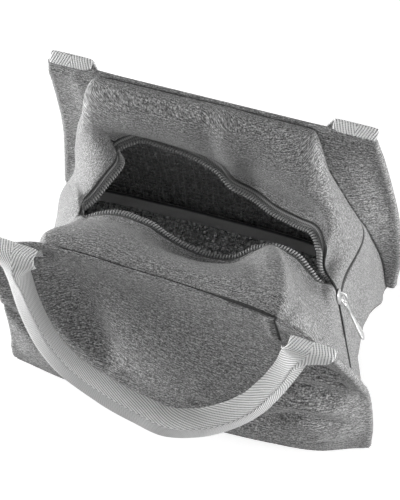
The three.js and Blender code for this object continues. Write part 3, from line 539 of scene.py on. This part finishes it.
def make_lip(side, name):
    s = steps((ZIP_START + 0.03, SLIDER - 1, 180), (SLIDER - 1, SLIDER + 0.5, 60),
              (SLIDER + 0.5, ZIP_STOP - 0.03, 30))

    def lift(flat, a, b):
        run = flat[..., 1]
        from_seam = run.max(1, keepdims=True) - run
        ends = smoothstep(np.abs(a - 11.5), 1.5, 4)
        high = PILLOW[side][0] * ends + PILLOW[side][1] * (1 - ends)
        high = high * (1 - smoothstep(a, SLIDER - 1, SLIDER + 1)) * smoothstep(a, 3, 5)
        pillow = high * (1 - np.exp(-from_seam / 6)) * smoothstep(b, 0.12, 0.55)
        rise, sharp = folds(np.stack([a * 12, b * 60], -1), LIP_FOLDS[side])
        # The free edge by the tape counts as a seam here, so painted shade darkens the cloth there, for
        # the shadow in the gap next to the tape.
        return pillow + rise, np.minimum(sharp, run + 0.4)

    places = [spread(s, spot_at(side, s, shown_tape(side, s)), 1, 52),
              spread(s, spot_at(side, s, COIL_INSET + COIL_RADIUS + 2), 1, 30)]
    depths = (0, CLOTH + LIP_FOAM), (LIP_LINING_DEPTH, LIP_LINING_DEPTH + LINING)
    make_walls(side, f"{name}_lip", places, depths, lift)
    edges = (spot_at(side, s, COIL_INSET + across) for across in (-0.4, TAPE_WIDTH))
    tape = band_piece(side, *spread(s, *edges, 12), (TAPE_DEPTH, TAPE_DEPTH + TAPE), f"{name}_tape",
                      TAPE_LOOK)
    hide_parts(f"{name}_zip_tape")


def make_gusset(name, first, last):
    places = grid(np.linspace(first, last, 61), np.linspace(-1, 1, 101))
    depths = (0, LINING_DEPTH - GAP), (LINING_DEPTH, WALL_DEPTH)
    make_walls(0, f"{name}_gusset", [places] * 2, depths, lambda flat, a, b: (0 * a, FAR + 0 * a))


def wrapped(points, rows, ring):
    """Faces of a body made of rows of ring points, and then a tip at each end."""
    ids = np.arange(rows * ring).reshape(rows, ring)
    nxt = np.roll(ids, -1, 1)
    sides = np.stack([ids[:-1], nxt[:-1], nxt[1:], ids[1:]], -1).reshape(-1, 4)
    caps = [(rows * ring, n, i, i) for i, n in zip(ids[0], nxt[0])]
    caps += [(rows * ring + 1, i, n, n) for i, n in zip(ids[-1], nxt[-1])]
    faces = faces_out(points, np.concatenate([sides, np.array(caps)]))
    return [tuple(dict.fromkeys(f)) for f in faces.tolist()]


def tube(path, side_dir, up_dir, across, high, ring):
    """Points, faces and uv of a closed tube along a path, with capped ends."""
    t = np.linspace(0, 2 * math.pi, ring, endpoint=False)
    rings = (path[:, None] + side_dir[:, None] * (np.cos(t) * across)[:, None]
             + up_dir[:, None] * (np.sin(t) * high)[:, None])
    points = np.concatenate([rings.reshape(-1, 3), path[[0, -1]]])
    uv = np.stack([np.repeat(walked(path, 0), ring), np.tile(t, len(path))], -1)
    return points, wrapped(points, len(path), ring), np.concatenate([uv, uv[[0, -1]]])


def frames_along(path, guide):
    """The directions to the side of a path and up from it."""
    ahead = unit(np.gradient(path, axis=0))
    side_dir = unit(np.cross(ahead, guide))
    return side_dir, unit(np.cross(side_dir, ahead))


def make_coil(side, name):
    """The coil of the zip: one wire wound along the tape's edge."""
    s = np.linspace(ZIP_START + 0.4, ZIP_STOP - 0.15, 400)
    q = spot_at(side, s, COIL_INSET)
    axis = on_seat(HALF[side](s, q) - band_normal(s, side * q, side) * (COIL_DEPTH - 0.3))
    run = walked(axis, 0)
    turns, per_turn = int(run[-1] / COIL_PITCH), 12
    where = np.linspace(0, run[-1], turns * per_turn)
    resample = lambda v: np.stack([np.interp(where, run, v[:, i]) for i in range(3)], -1)
    core = resample(axis)
    across, up = frames_along(core, resample(band_normal(s, side * 0.02, side)))
    phase = where / COIL_PITCH * 2 * math.pi
    wire = (core + across * (COIL_ACROSS * np.cos(phase))[:, None]
            + up * (COIL_HIGH * np.sin(phase))[:, None])
    frames = frames_along(wire, unit(wire - core + 1e-4))
    coil = build(name, *tube(wire, *frames, COIL_WIRE, COIL_WIRE, 6), COIL_LOOK)
    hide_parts(name)


FOOT_COUNT, FOOT_REACH = 60, 0.985


def foot_patch(inset):
    """A grid of places over the base, inside the walls' feet by the inset."""
    t = np.linspace(0, 1, FOOT_COUNT)
    u = q = -FOOT_REACH + 2 * FOOT_REACH * t
    front, back = (panel_point(side, u, 0)[:, :2] for side in (-1, 1))
    left, right = (whole_band(s, q)[:, :2] for s in (0, LAST))
    left[[0, -1]], right[[0, -1]] = [front[0], back[0]], [front[-1], back[-1]]
    a, b = t[:, None, None], t[None, :, None]
    edges = front * (1 - a) + back * a + left[:, None] * (1 - b) + right[:, None] * b
    corners = ((1 - a) * ((1 - b) * front[0] + b * front[-1])
               + a * ((1 - b) * back[0] + b * back[-1]))
    flat = edges - corners
    middle = flat.mean((0, 1))
    shrink = 1 - 2 * inset / np.array([BASE_LENGTH, BASE_DEPTH])
    return middle + (flat - middle) * shrink


def at_height(flat, z):
    return np.concatenate([flat, np.broadcast_to(z, flat.shape[:2])[..., None]], -1)


def plate(flat, bottom, top):
    """A level plate over a grid of places."""
    return slab(at_height(flat, top), at_height(flat, bottom), flat)


def make_base():
    """The floor's cloth, board and foil, and the binding that goes once round its edge."""
    inset = WALL_DEPTH + 1.2
    cloth = build("base_cover", *plate(foot_patch(0), 0, CLOTH), CLOTH_LOOK)
    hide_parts("base_cloth")
    board = build("base_board", *plate(foot_patch(inset), SEAT, SEAT + FOAM), FOAM_LOOK)
    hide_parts("base_foam")
    low = SEAT + FOAM + GAP
    lining = build("base_foil", *plate(foot_patch(inset), low, low + LINING), FOIL_LOOK)
    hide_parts("base_lining")

    rows, columns = border(FOOT_COUNT, FOOT_COUNT)[:, [*range(4 * FOOT_COUNT - 4), 0]]
    share = np.linspace(0, 1, 6)[:, None]
    strip = np.array([foot_patch(inset + 0.4 + inside)[rows, columns]
                      for inside in share[:, 0] * BINDING_WIDTH])
    bottom = low + LINING + 0.2
    crown = bottom + BINDING + BINDING_CROWN * np.sin(math.pi * share)
    outer = at_height(strip, crown)
    run = walked(outer, 1)
    across = share * BINDING_WIDTH + 0 * run
    # The third column, the distance from the edge by the wall, places the binding's painted shade.
    sheet = slab(outer, at_height(strip, bottom), np.stack([run, across, across], -1))
    tape = build("seam_tape", *sheet, BINDING_LOOK)
    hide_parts("seam_binding")


# The hanging loop: along the root line, down, and out from the panel, each a share of its size
HANDLE_ROUTE = [
    (-0.99, 0.12, 0.28), (-0.97, 0.26, 0.33), (-0.9, 0.45, 0.48), (-0.78, 0.63, 0.66),
    (-0.61, 0.77, 0.79), (-0.38, 0.91, 0.86), (-0.16, 0.98, 0.9), (0.06, 1.01, 0.93),
    (0.3, 1.01, 0.82), (0.49, 0.95, 0.67), (0.64, 0.84, 0.51), (0.77, 0.63, 0.33),
    (0.85, 0.39, 0.26), (0.91, 0.14, 0.22),
]
# How far each loop stands out at its belly and up at its roots, and how far its legs and its
# bottom face upward, in degrees
LOOPS = {
    -1: {"reach": 54, "stand": 1, "legs": 14, "bottom": 46},
    1: {"reach": 26, "stand": 3, "legs": 8, "bottom": 8},
}
# Degrees that each half of a strap is folded back, at even steps from its left root to its right
STRAP_FOLDS = {-1: [40, 56, 56, 52, 46, 40, 40, 46, 52, 50, 40], 1: [0, 0, 0]}
# Degrees that it is turned towards the middle of the bag, at the same steps
STRAP_TURNS = {-1: [0, 26, 40, 38, 26, 12, 0, 0, 0, 0, 0], 1: [0, 0, 0]}
# The strap's bend over its root, as steps out from it and shares of the stand
ROOT_BEND = [(0, 0), (2, 0.3), (5.5, 1)]
ROOT_RUN, ROOT_TURNED, STRAP_COLUMNS, STRAP_CURL = 14, (9, 32), 21, 0.35


def root_places(side):
    u = np.array([[-1], [1]]) * ROOT_SPAN / TOP_LENGTH + np.array([-1, 1]) * WEBBING_WIDTH / TOP_LENGTH
    places = in_panel(side, u, 1, FOAM_DEPTH + WEBBING / 2).mean(1)
    places[:, 2] = ROOT_HEIGHT
    return places


def smooth_line(points, samples=40):
    """The centripetal curve through points, as a dense line."""
    p = [np.asarray(x, float) for x in points]
    p = [2 * p[0] - p[1]] + p + [2 * p[-1] - p[-2]]
    line = []
    for a, b, c, d in zip(p, p[1:], p[2:], p[3:]):
        da, db, dc = (max(np.linalg.norm(y - x), 1e-6) ** 0.5 for x, y in ((a, b), (b, c), (c, d)))
        m1 = ((b - a) / da - (c - a) / (da + db) + (c - b) / db) * db
        m2 = ((c - b) / db - (d - b) / (db + dc) + (d - c) / dc) * db
        t = np.linspace(0, 1, samples, endpoint=False)[:, None]
        line.append(b + t * m1 + t * t * (3 * (c - b) - 2 * m1 - m2) + t ** 3 * (2 * (b - c) + m1 + m2))
    return np.concatenate(line + [p[-2][None]])


def strap_line(side, left, right, out):
    """The middle of a hanging strap, as a dense line from root to root."""
    loop = LOOPS[side]
    middle = at(0, side, 1)[0]
    points = []
    for along, drop, reach in HANDLE_ROUTE:
        y = left[1] + (right[1] - left[1]) * (along + 1) / 2
        points.append([middle + along * ROOT_SPAN / 2, y + side * reach * loop["reach"],
                       HEIGHT + WEBBING - drop * HANDLE_DROP])
    start, end = ([root + out * o + np.array([0, 0, r * loop["stand"]]) for o, r in ROOT_BEND]
                  for root in (left, right))
    return smooth_line(start + points + end[::-1])


def make_strap(side, name):
    """A strap of webbing that hangs in a loop and bends where it leaves the panel."""
    loop = LOOPS[side]
    left, right = root_places(side)
    wide0 = unit(right - left)
    dense = strap_line(side, left, right, np.array([wide0[1], -wide0[0], 0]) * -side)
    run = walked(dense, 0)
    length = run[-1]
    where = steps((0, ROOT_RUN, 15), (ROOT_RUN, length - ROOT_RUN, 170),
                  (length - ROOT_RUN, length, 15))
    path = np.stack([np.interp(where, run, dense[:, i]) for i in range(3)], -1)
    ahead = unit(np.gradient(path, where, axis=0))
    from_end = np.minimum(where, length - where)

    turn = np.radians(loop["legs"] + (loop["bottom"] - loop["legs"]) * np.abs(ahead[:, 0]))
    facing = np.stack([0 * turn, side * np.cos(turn), np.sin(turn)], -1)
    free = unit(np.cross(ahead, facing)) * side
    twist = np.radians(ease(STRAP_TURNS[side], where / length))[:, None]
    free = unit(free * np.cos(twist) - facing * np.sin(twist))
    sign = np.where(where < length / 2, 1, -1)[:, None]
    share = smoothstep(from_end, *ROOT_TURNED)[:, None]
    wide = unit(wide0 * sign * (1 - share) + free * share)
    thick = unit(np.cross(ahead, wide)) * -side

    fold = np.radians(ease(STRAP_FOLDS[side], where / length) * smoothstep(from_end, 6, 30))
    across = np.linspace(-1, 1, STRAP_COLUMNS)
    a, f = across[None, :, None], fold[:, None, None]
    dip = np.sqrt(a * a + 0.012) - 0.11
    curl = STRAP_CURL * np.abs(a) ** 6
    middle_line = (path[:, None] + wide[:, None] * a * WEBBING_WIDTH / 2 * np.cos(f)
                   - thick[:, None] * (dip * np.sin(f) * WEBBING_WIDTH / 2 + curl))
    face, under = (middle_line + thick[:, None] * half for half in (WEBBING / 2, -WEBBING / 2))
    uv = np.stack(grid(where, across * WEBBING_WIDTH / 2)[::-1], -1)
    strap = build(f"{name}_strap", *slab(face, under, uv), WEBBING_LOOK, body=f"{name}_strap")
    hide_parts(f"{name}_handle")


def make_tails(side, name):
    """The strap's two ends, sewn in behind the panel's cloth."""
    for end, word in ((-1, "left"), (1, "right")):
        u = np.linspace(-1, 1, 13) * WEBBING_WIDTH / TOP_LENGTH + end * ROOT_SPAN / TOP_LENGTH
        w, u = grid(np.linspace(1 - HANDLE_TUCK / HEIGHT, 1.0, 9), u)
        face, under = (in_panel(side, u, w, depth) for depth in (FOAM_DEPTH, FOAM_DEPTH + WEBBING))
        place = cloth_place(u, w)
        tail = build(f"{name}_{word}_tail", *slab(face, under, place - place[0, 6]), WEBBING_LOOK)
        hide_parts(f"{name}_{word}_handle_end")


def pebble(outline, bottom, top, bevel):
    """A plate over an outline with rounded edges, top and bottom closed by fans."""
    edge = np.roll(outline, -1, 0) - np.roll(outline, 1, 0)
    inward = unit(np.stack([-edge[:, 1], edge[:, 0]], -1))
    inward *= -np.sign(((outline - outline.mean(0)) * inward).sum())
    rings = [(bevel * (1 - math.sin(t)), bottom + bevel * (1 - math.cos(t)))
             for t in np.linspace(0, math.pi / 2, 4)]
    rings += [(inset, bottom + top - z) for inset, z in rings[::-1]]
    points = [np.concatenate([outline + inward * inset, np.full((len(outline), 1), z)], -1)
              for inset, z in rings]
    middle = outline.mean(0)
    points = np.concatenate(points + [[[*middle, bottom], [*middle, top]]])
    return points, wrapped(points, len(rings), len(outline))


def joined(*parts):
    """Several bodies as the points and faces of one mesh."""
    starts = np.cumsum([0] + [len(points) for points, _ in parts]).tolist()
    faces = [tuple(i + start for i in face) for (_, own), start in zip(parts, starts) for face in own]
    return np.concatenate([points for points, _ in parts]), faces


def bar(path, across, high, guide):
    path = smooth_line(path, 10)
    return tube(path, *frames_along(path, guide), across, high, 12)[:2]


# The slider's bridge as (along, out), half of the pull's eye as (along, across), and the blade's
# half widths at shares of its length
BRIDGE = [(-3.7, 0.8), (-3.5, 2.6), (-2.4, 4.4), (0, 4.9), (2.4, 4.4), (3.5, 2.6), (3.7, 0.8)]
HALF_EYE = [(4.1, 0), (4.0, 1.0), (2.4, 1.7), (0.8, 1.95), (-0.5, 1.7), (-0.88, 0.9), (-0.92, 0)]
BLADE = [(0, 1.9), (0.08, 1.3), (0.2, 1.0), (0.45, 1.35), (0.75, 2.5), (0.93, 2.3), (1, 0.9)]
BLADE_START = 3.5
PIVOT = np.array([SLIDER_MIDDLE + 1.6, 0, CLEAR + SLIDER_PLATE + PULL / 2 + 2.5 * CLEAR])
STOP_WIDTH, STOP_LENGTH = 2, 2.4


def metal_piece(name, node, points, faces, place, body="bag"):
    """A piece from points given along, across and out of the zip, at a place on it."""
    points = place + points @ np.stack([DOWN, ACROSS, OUTWARD])
    piece = build(name, points, faces, points[:, :2], METAL_LOOK, body)
    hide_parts(node)


def make_slider():
    t = np.linspace(0, 2 * math.pi, 48, endpoint=False)
    x, y = (np.sign(v) * np.abs(v) ** 0.6 for v in (np.cos(t), np.sin(t)))
    x = x * SLIDER_LENGTH / 2
    outline = np.stack([x, y * (SLIDER_WIDTH / 2 - 0.11 * (x + 5))], -1)
    floor = -(LIP_LINING_DEPTH + LINING + CLEAR + SLIDER_PLATE)
    top = pebble(outline, CLEAR, CLEAR + SLIDER_PLATE, 0.45)
    under = pebble(outline, floor, floor + SLIDER_PLATE, 0.45)
    neck = pebble(np.stack([2 * np.cos(t), 0.75 * np.sin(t)], -1), floor + 0.5, CLEAR + 0.5, 0.1)
    bridge = bar([(x, 0, z) for x, z in BRIDGE], 1.0, 0.6, (0, 1, 0))
    points, faces = joined(top, under, neck, bridge)
    points = points + np.array([SLIDER_MIDDLE, 0, 0])
    metal_piece("slider_body", "zip_slider", points, faces, SLIDER_PLACE, "slider")


def make_pull():
    ring = [(x, y, 0) for x, y in HALF_EYE] + [(x, -y, 0) for x, y in HALF_EYE[-2::-1]]
    along = np.linspace(0, 1, 40)
    half = np.interp(along, *np.transpose(BLADE))
    x = BLADE_START + along * (PULL_LENGTH - BLADE_START)
    outline = np.concatenate([np.stack([x, half], -1), np.stack([x, -half], -1)[::-1]])
    blade = pebble(outline, -PULL / 2, PULL / 2, 0.35)
    points, faces = joined(bar(ring, 0.5, 0.5, (0, 0, 1)), blade)
    c, s = math.cos(PULL_LIFT), math.sin(PULL_LIFT)
    points = points @ np.array([[c, 0, s], [0, 1, 0], [-s, 0, c]]) + PIVOT
    metal_piece("pull_tab", "zip_pull", points, faces, SLIDER_PLACE, "pull")


def make_stop():
    x, y = STOP_LENGTH / 2, STOP_WIDTH / 2
    corners = [(-x, -y, 0), (x, -y, 0), (x, y, 0), (-x, y, 0), (-x, -y, 0)]
    outline = smooth_line(corners, 6)[:-1, :2]
    points, faces = pebble(outline, -COIL_DEPTH - 0.3, -0.3, 0.3)
    metal_piece("stop_clip", "zip_stop", points, faces, STOP_PLACE - DOWN * 2)


class Look:
    """A procedural material whose nodes are made one by one."""

    def __init__(self, name, roughness, metallic=0.0, sheen=0.0):
        self.material = bpy.data.materials.new(name)
        self.material.use_nodes = True
        self.tree = self.material.node_tree
        self.set("Roughness", roughness)
        self.set("Metallic", metallic)
        self.set("Sheen Weight", sheen)
        self.set("Sheen Roughness", 0.5)
        self.place = self.node("ShaderNodeUVMap", uv_map="cloth").outputs[0]

    def node(self, kind, inputs=(), **settings):
        made = self.tree.nodes.new(kind)
        for key, value in settings.items():
            setattr(made, key, value)
        for key, value in dict(inputs).items():
            self.put(made.inputs[key], value)
        return made

    def set(self, key, value):
        self.put(self.tree.nodes["Principled BSDF"].inputs[key], value)

    def put(self, socket, value):
        if isinstance(value, bpy.types.NodeSocket):
            self.tree.links.new(value, socket)
        else:
            socket.default_value = value

    def scaled(self, x, y, turn):
        """The cloth's own coordinates, in turns per millimetre."""
        inputs = {"Vector": self.place, "Scale": (x / MM, y / MM, 1), "Rotation": (0, 0, turn)}
        return self.node("ShaderNodeMapping", inputs).outputs[0]

    def noise(self, x, y, detail=2.0, rough=0.5, turn=0.0):
        inputs = {"Vector": self.scaled(x, y, turn), "Scale": 1, "Detail": detail, "Roughness": rough}
        return self.node("ShaderNodeTexNoise", inputs).outputs[0]

    def math(self, operation, a, b=0.0, c=0.0):
        return self.node("ShaderNodeMath", {0: a, 1: b, 2: c}, operation=operation).outputs[0]

    def times(self, a, b, plus=None):
        return self.math("MULTIPLY", a, b) if plus is None else self.math("MULTIPLY_ADD", a, b, plus)

    def ramp(self, value, *stops):
        """A grey for each value, through stops that are each a value and its grey."""
        made = self.node("ShaderNodeValToRGB", {0: value})
        elements = made.color_ramp.elements
        for i, (place, grey) in enumerate(stops):
            stop = elements[i] if i < 2 else elements.new(place)
            stop.position = place
            stop.color = (grey, grey, grey, 1)
        return made.outputs[0]

    def shaded(self, colour, shade):
        """One colour times another."""
        inputs = {0: 1.0, 6: colour, 7: shade}
        return self.node("ShaderNodeMix", inputs, data_type="RGBA", blend_type="MULTIPLY").outputs[2]

    def wave(self, coordinate, turns=1.0):
        """A ridge from 0 to 1 every turn of the coordinate."""
        angle = self.times(coordinate, turns * 2 * math.pi)
        return self.times(self.math("SINE", angle), 0.5, 0.5)

    def painted_seam_shade(self, width):
        """Painted shade: 1 away from seams, sharp creases and free edges, and dark within a width of
        them, in millimetres, where their grooves would be in shadow.
        """
        seam = self.split(self.node("ShaderNodeUVMap", uv_map="seam").outputs[0])[0]
        return self.ramp(self.times(seam, 0.1 / MM), (width * 0.07, 0.1), (width * 0.14, 1.0))

    def axes(self, x, y):
        return self.split(self.scaled(x, y, 0))

    def split(self, vector):
        made = self.node("ShaderNodeSeparateXYZ", {0: vector})
        return made.outputs[0], made.outputs[1]

    def finish(self, colour, height, depth, strength=1.0):
        self.set("Base Color", colour)
        inputs = {"Height": height, "Distance": depth * MM, "Strength": strength}
        self.set("Normal", self.node("ShaderNodeBump", inputs).outputs[0])
        return self.material


def cloth_look():
    look = Look("heathered_cloth", 0.85, sheen=0.12)
    long_streak = look.noise(0.12, 1.6, 2.0, 0.6)
    streak = look.noise(0.5, 2.0, 2.0, 0.55)
    speck = look.noise(1.1, 2.0, 1.0, turn=0.2)
    drift = look.noise(0.02, 0.035)
    value = look.times(long_streak, 0.25, look.times(streak, 0.4, look.times(speck, 0.35)))
    grey = look.ramp(value, (0.39, 0.03), (0.47, 0.17), (0.53, 0.34), (0.63, 0.78))
    tone = look.ramp(drift, (0.3, 0.88), (0.7, 1.0))
    # Painted shade darkens the cloth within 0.8 mm of seams, sharp creases and the lips' free edges.
    colour = look.shaded(look.shaded(grey, tone), look.painted_seam_shade(0.8))
    x, y = look.axes(1.5, 1.7)
    weave = look.times(look.wave(x), look.wave(y))
    return look.finish(colour, look.times(weave, 0.3, value), 0.6, 0.6)


def foil_look():
    look = Look("embossed_foil", 0.4, metallic=0.65)
    x, y = look.axes(1 / 4.2, 1 / 4.2)
    crumple = look.noise(0.25, 0.25, 3.0, 0.55)
    x, y = (look.times(crumple, 0.5, axis) for axis in (x, y))
    ridge = look.math("MAXIMUM", look.math("POWER", look.wave(x), 6), look.math("POWER", look.wave(y), 6))
    # This noise roughens the emboss and, in the colour below, picks where the painted glints fall.
    grain = look.times(look.noise(0.6, 0.6), 2.6, -0.8)
    facet = look.ramp(look.noise(0.33, 0.33, 1.0), (0.56, 0.0), (0.64, 1.0))
    height = look.times(crumple, 0.9, look.times(grain, 0.2, ridge))
    height = look.times(facet, 1.2, height)
    # Painted highlight: the foil's colour is lighter along the emboss's ridges and brightest where the
    # noise there is high, standing in for glints.
    colour = look.ramp(look.times(ridge, grain), (0.05, 0.5), (0.6, 1.0))
    look.set("Roughness", look.ramp(crumple, (0.35, 0.16), (0.65, 0.4)))
    return look.finish(colour, height, 0.9, 0.9)


def foam_look():
    look = Look("white_foam", 0.7)
    pores = look.noise(1.2, 1.2)
    return look.finish(look.ramp(pores, (0.3, 0.7), (0.7, 0.8)), pores, 0.3)


def binding_look():
    look = Look("binding_tape", 0.45, sheen=0.1)
    rib = look.axes(0.9, 1)[0]
    grain = look.noise(1.2, 1.2)
    # Painted shade darkens the binding within 1.6 mm of its edge by the wall, standing in for the shadow
    # in the gap there.
    colour = look.shaded(look.ramp(grain, (0.3, 0.86), (0.7, 0.98)), look.painted_seam_shade(1.6))
    return look.finish(colour, look.wave(rib), 0.15, 0.5)


def tape_look():
    look = Look("zip_tape", 0.8, sheen=0.15)
    x, y = look.axes(1 / 1.2, 1 / 1.9)
    thread = look.times(look.wave(y), 0.7)
    height = look.times(look.wave(x), 0.5, thread)
    # The ribs are the tape's own weave; its low threads are painted darker as shade.
    colour = look.ramp(height, (0.1, 0.08), (1.0, 0.4))
    return look.finish(colour, height, 0.4, 0.8)


def coil_look():
    look = Look("coil_wire", 0.38)
    grain = look.noise(2, 2, 1.0)
    return look.finish(look.ramp(grain, (0.3, 0.26), (0.7, 0.42)), grain, 0.03)


def webbing_look():
    look = Look("herringbone_webbing", 0.75, sheen=0.2)
    x, y = look.axes(1, 1)
    lean = math.radians(22)
    slant = look.math("ADD", look.times(y, math.sin(lean)),
                      look.times(look.math("ABSOLUTE", x), math.cos(lean)))
    ridge = look.wave(slant, 1 / 1.5)
    twist = look.wave(look.math("SUBTRACT", y, look.times(slant, 0.4)), 1 / 1.1)
    fuzz = look.noise(1.6, 1.6)
    height = look.math("ADD", look.math("ADD", ridge, look.times(twist, 0.25)),
                       look.times(fuzz, 0.25))
    # The herringbone is the webbing's own weave; its grooves are painted darker as shade.
    colour = look.ramp(height, (0.2, 0.26), (0.55, 0.7), (1.0, 0.94))
    return look.finish(colour, height, 0.5, 0.7)


def metal_look():
    look = Look("brushed_zinc", 0.28, metallic=0.9)
    wear = look.noise(0.8, 0.8, 3.0)
    look.set("Roughness", look.ramp(wear, (0.3, 0.26), (0.7, 0.42)))
    return look.finish(look.ramp(wear, (0.35, 0.82), (0.6, 0.94)), wear, 0.05)


CLOTH_LOOK, FOIL_LOOK, FOAM_LOOK = cloth_look(), foil_look(), foam_look()
BINDING_LOOK, TAPE_LOOK, COIL_LOOK = binding_look(), tape_look(), coil_look()
WEBBING_LOOK, METAL_LOOK = webbing_look(), metal_look()

# Creases of each panel: a line of places on its cloth, the height, and the widths to the left and
# right of the line, where None makes it sharp, with painted shade along it
PANEL_FOLDS = {1: [
    ([(-98, 186), (-104, 140), (-112, 90), (-120, 40)], 6, 24, 24),
    ([(98, 180), (103, 140), (110, 100), (118, 60), (124, 20)], 3.5, 9, 9),
    ([(-84, 192), (-86, 160), (-90, 120)], -1.5, 5, 5),
], -1: [
    ([(-82, 140), (-84, 115), (-77, 92), (-66, 78), (-44, 60)], 3.5, 7, 9),
    ([(-73, 172), (-67, 136), (-60, 111), (-54, 93), (-46, 80), (-34, 72)], -7.5, 13, 16),
    ([(-62, 192), (-66, 176), (-74, 160)], 2.2, 3, 3),
    ([(-68, 190), (-74, 176), (-78, 168)], -2.5, 4, 4),
    ([(-55, 192), (-57, 180), (-60, 170)], -1.6, 3.5, 3.5),
    ([(64, 196), (65, 182), (66, 168)], -1.2, 0.9, None),
    ([(60, 192), (61, 180), (63, 168)], 1.4, 2.5, 2.0),
    ([(82, 155), (92, 155), (101, 152)], -2.6, 3, 3),
    ([(80, 146), (90, 145), (102, 140)], 2.2, 3.5, 3.5),
    ([(76, 137), (90, 132), (102, 125)], -3.6, 4, 4),
    ([(58, 108), (80, 114), (100, 106)], -5, 9, 7),
    ([(40, 88), (70, 96), (105, 86)], 3.8, 6, 6),
    ([(10, 66), (50, 62), (80, 76), (106, 56)], -4.4, 6, 7),
    ([(-20, 40), (40, 44), (100, 38)], 3.2, 6, 6),
    ([(20, 22), (60, 18), (104, 22)], -4, 6, 7),
    ([(-112, 108), (-105, 88), (-92, 66)], -2.8, 6, 6),
    ([(-108, 128), (-100, 106), (-88, 86)], 2.0, 7, 7),
    ([(-120, 110), (-124, 70), (-127, 20)], -6, 15, 15),
    ([(108, 120), (116, 80), (124, 30)], -4, 9, 9),
]}
# The same on each lip, its places as (12 x station, 60 x share of the way from zip to seam)
LIP_FOLDS = {1: [
    ([(146, 60), (149, 40), (146, 14)], 1.8, 6, 8),
    ([(138, 56), (139, 40), (139, 20)], -1.6, 6, 6),
    ([(219, 64), (226, 42), (229, 22), (232, 6)], -2.2, 1.0, None),
    ([(117, 58), (121, 36), (124, 10)], 4.5, 34, 36),
], -1: [
    ([(174, 2), (179, 10), (182, 33), (184.5, 52), (187, 62)], 9, 34, 6.5),
    ([(165, 10), (169, 36), (173, 56)], -3, 9, 8),
    ([(59, 4), (56, 30), (55, 58)], 1.6, 5, 5),
]}
# How far each lip stands up like a pillow inside its seam: at its ends and along the top
PILLOW = {1: (5.5, 3.0), -1: (1.8, 0.6)}

for side, name in ((1, "back"), (-1, "front")):
    cover = make_cover(side, f"{name}_cover")
    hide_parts(f"{name}_panel_cloth", f"{name}_panel_foam", f"{name}_panel_facing")
    lining = make_panel_lining(side, f"{name}_foil")
    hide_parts(f"{name}_panel_lining")
    make_lip(side, name)
    make_coil(side, f"{name}_zip_coil")
    make_strap(side, name)
    make_tails(side, name)
make_gusset("left", 0, ZIP_START - 0.03)
make_gusset("right", ZIP_STOP + 0.03, LAST)
make_base()
make_slider()
make_pull()
make_stop()


# The camera's place in metres, and the directions to its right, up and back
CAMERA_PLACE, SENSOR, LENS = (0.134942, -0.229185, 0.814436), 36, 86.43
CAMERA_AXES = (
    (0.95082765, 0.29911214, -0.08036611),
    (-0.25460923, 0.90261377, 0.34707711),
    (0.17635453, -0.30954856, 0.93438684),
)
# The softboxes: place and size in metres, and power in watts, all aimed at one place
SOFTBOXES = [
    ("right_box", (1.1, 0.1, 0.32), (0.6, 0.6), 15),
    ("left_box", (-1.1, 0, 0.26), (0.6, 0.6), 25),
    ("front_fill", (0.1, -0.7, 1.0), (0.8, 0.5), 2.2),
]
LIT_PLACE, WORLD_LEVEL = (0, 0, 0.1), 0.08
FLOOR_REACH, FLOOR_COLOUR, FLOOR_GLOW = 3, (0.6, 0.6, 0.6, 1), 0.62


def place_camera():
    camera = bpy.data.cameras.new("camera")
    camera.sensor_width = SENSOR
    camera.lens = LENS
    camera.clip_start, camera.clip_end = 0.05, 20
    obj = placed("camera", camera)
    obj.matrix_world = Matrix.Translation(CAMERA_PLACE) @ Matrix(CAMERA_AXES).transposed().to_4x4()
    bpy.context.scene.camera = obj


def ray_level(tree, rays, low, high):
    """A level that is high for the rays named, such as Is Camera Ray, and low for the others."""
    path = tree.nodes.new("ShaderNodeLightPath")
    seen = tree.nodes.new("ShaderNodeMath")
    seen.operation = "MAXIMUM"
    level = tree.nodes.new("ShaderNodeMapRange")
    level.inputs["To Min"].default_value = low
    level.inputs["To Max"].default_value = high
    for socket, ray in zip(seen.inputs, rays):
        tree.links.new(path.outputs[ray], socket)
    tree.links.new(seen.outputs[0], level.inputs["Value"])
    return level.outputs[0]


def make_studio():
    world = bpy.data.worlds.new("studio")
    bpy.context.scene.world = world
    world.use_nodes = True
    tree = world.node_tree
    sky = tree.nodes["Background"]
    sky.inputs[0].default_value = (1, 1, 1, 1)
    level = ray_level(tree, ("Is Camera Ray", "Is Glossy Ray"), WORLD_LEVEL, 1)
    tree.links.new(level, sky.inputs[1])

    x = FLOOR_REACH
    corners = [(-x, -x, 0), (x, -x, 0), (x, x, 0), (-x, x, 0)]
    mesh = bpy.data.meshes.new("floor")
    mesh.from_pydata(corners, [], [(0, 1, 2, 3)])
    floor = placed("floor", mesh)
    look = Look("floor", 0.9)
    look.set("Base Color", FLOOR_COLOUR)
    look.set("Emission Color", (1, 1, 1, 1))
    look.set("Emission Strength", ray_level(look.tree, ("Is Camera Ray",) * 2, 0, FLOOR_GLOW))
    mesh.materials.append(look.material)

    for name, place, size, power in SOFTBOXES:
        light = bpy.data.lights.new(name, "AREA")
        light.shape = "RECTANGLE"
        light.size, light.size_y = size
        light.energy = power
        box = placed(name, light)
        box.location = place
        box.rotation_euler = (Vector(LIT_PLACE) - Vector(place)).to_track_quat("-Z", "Y").to_euler()


place_camera()
make_studio()
scene = bpy.context.scene
scene.view_settings.view_transform = "Standard"
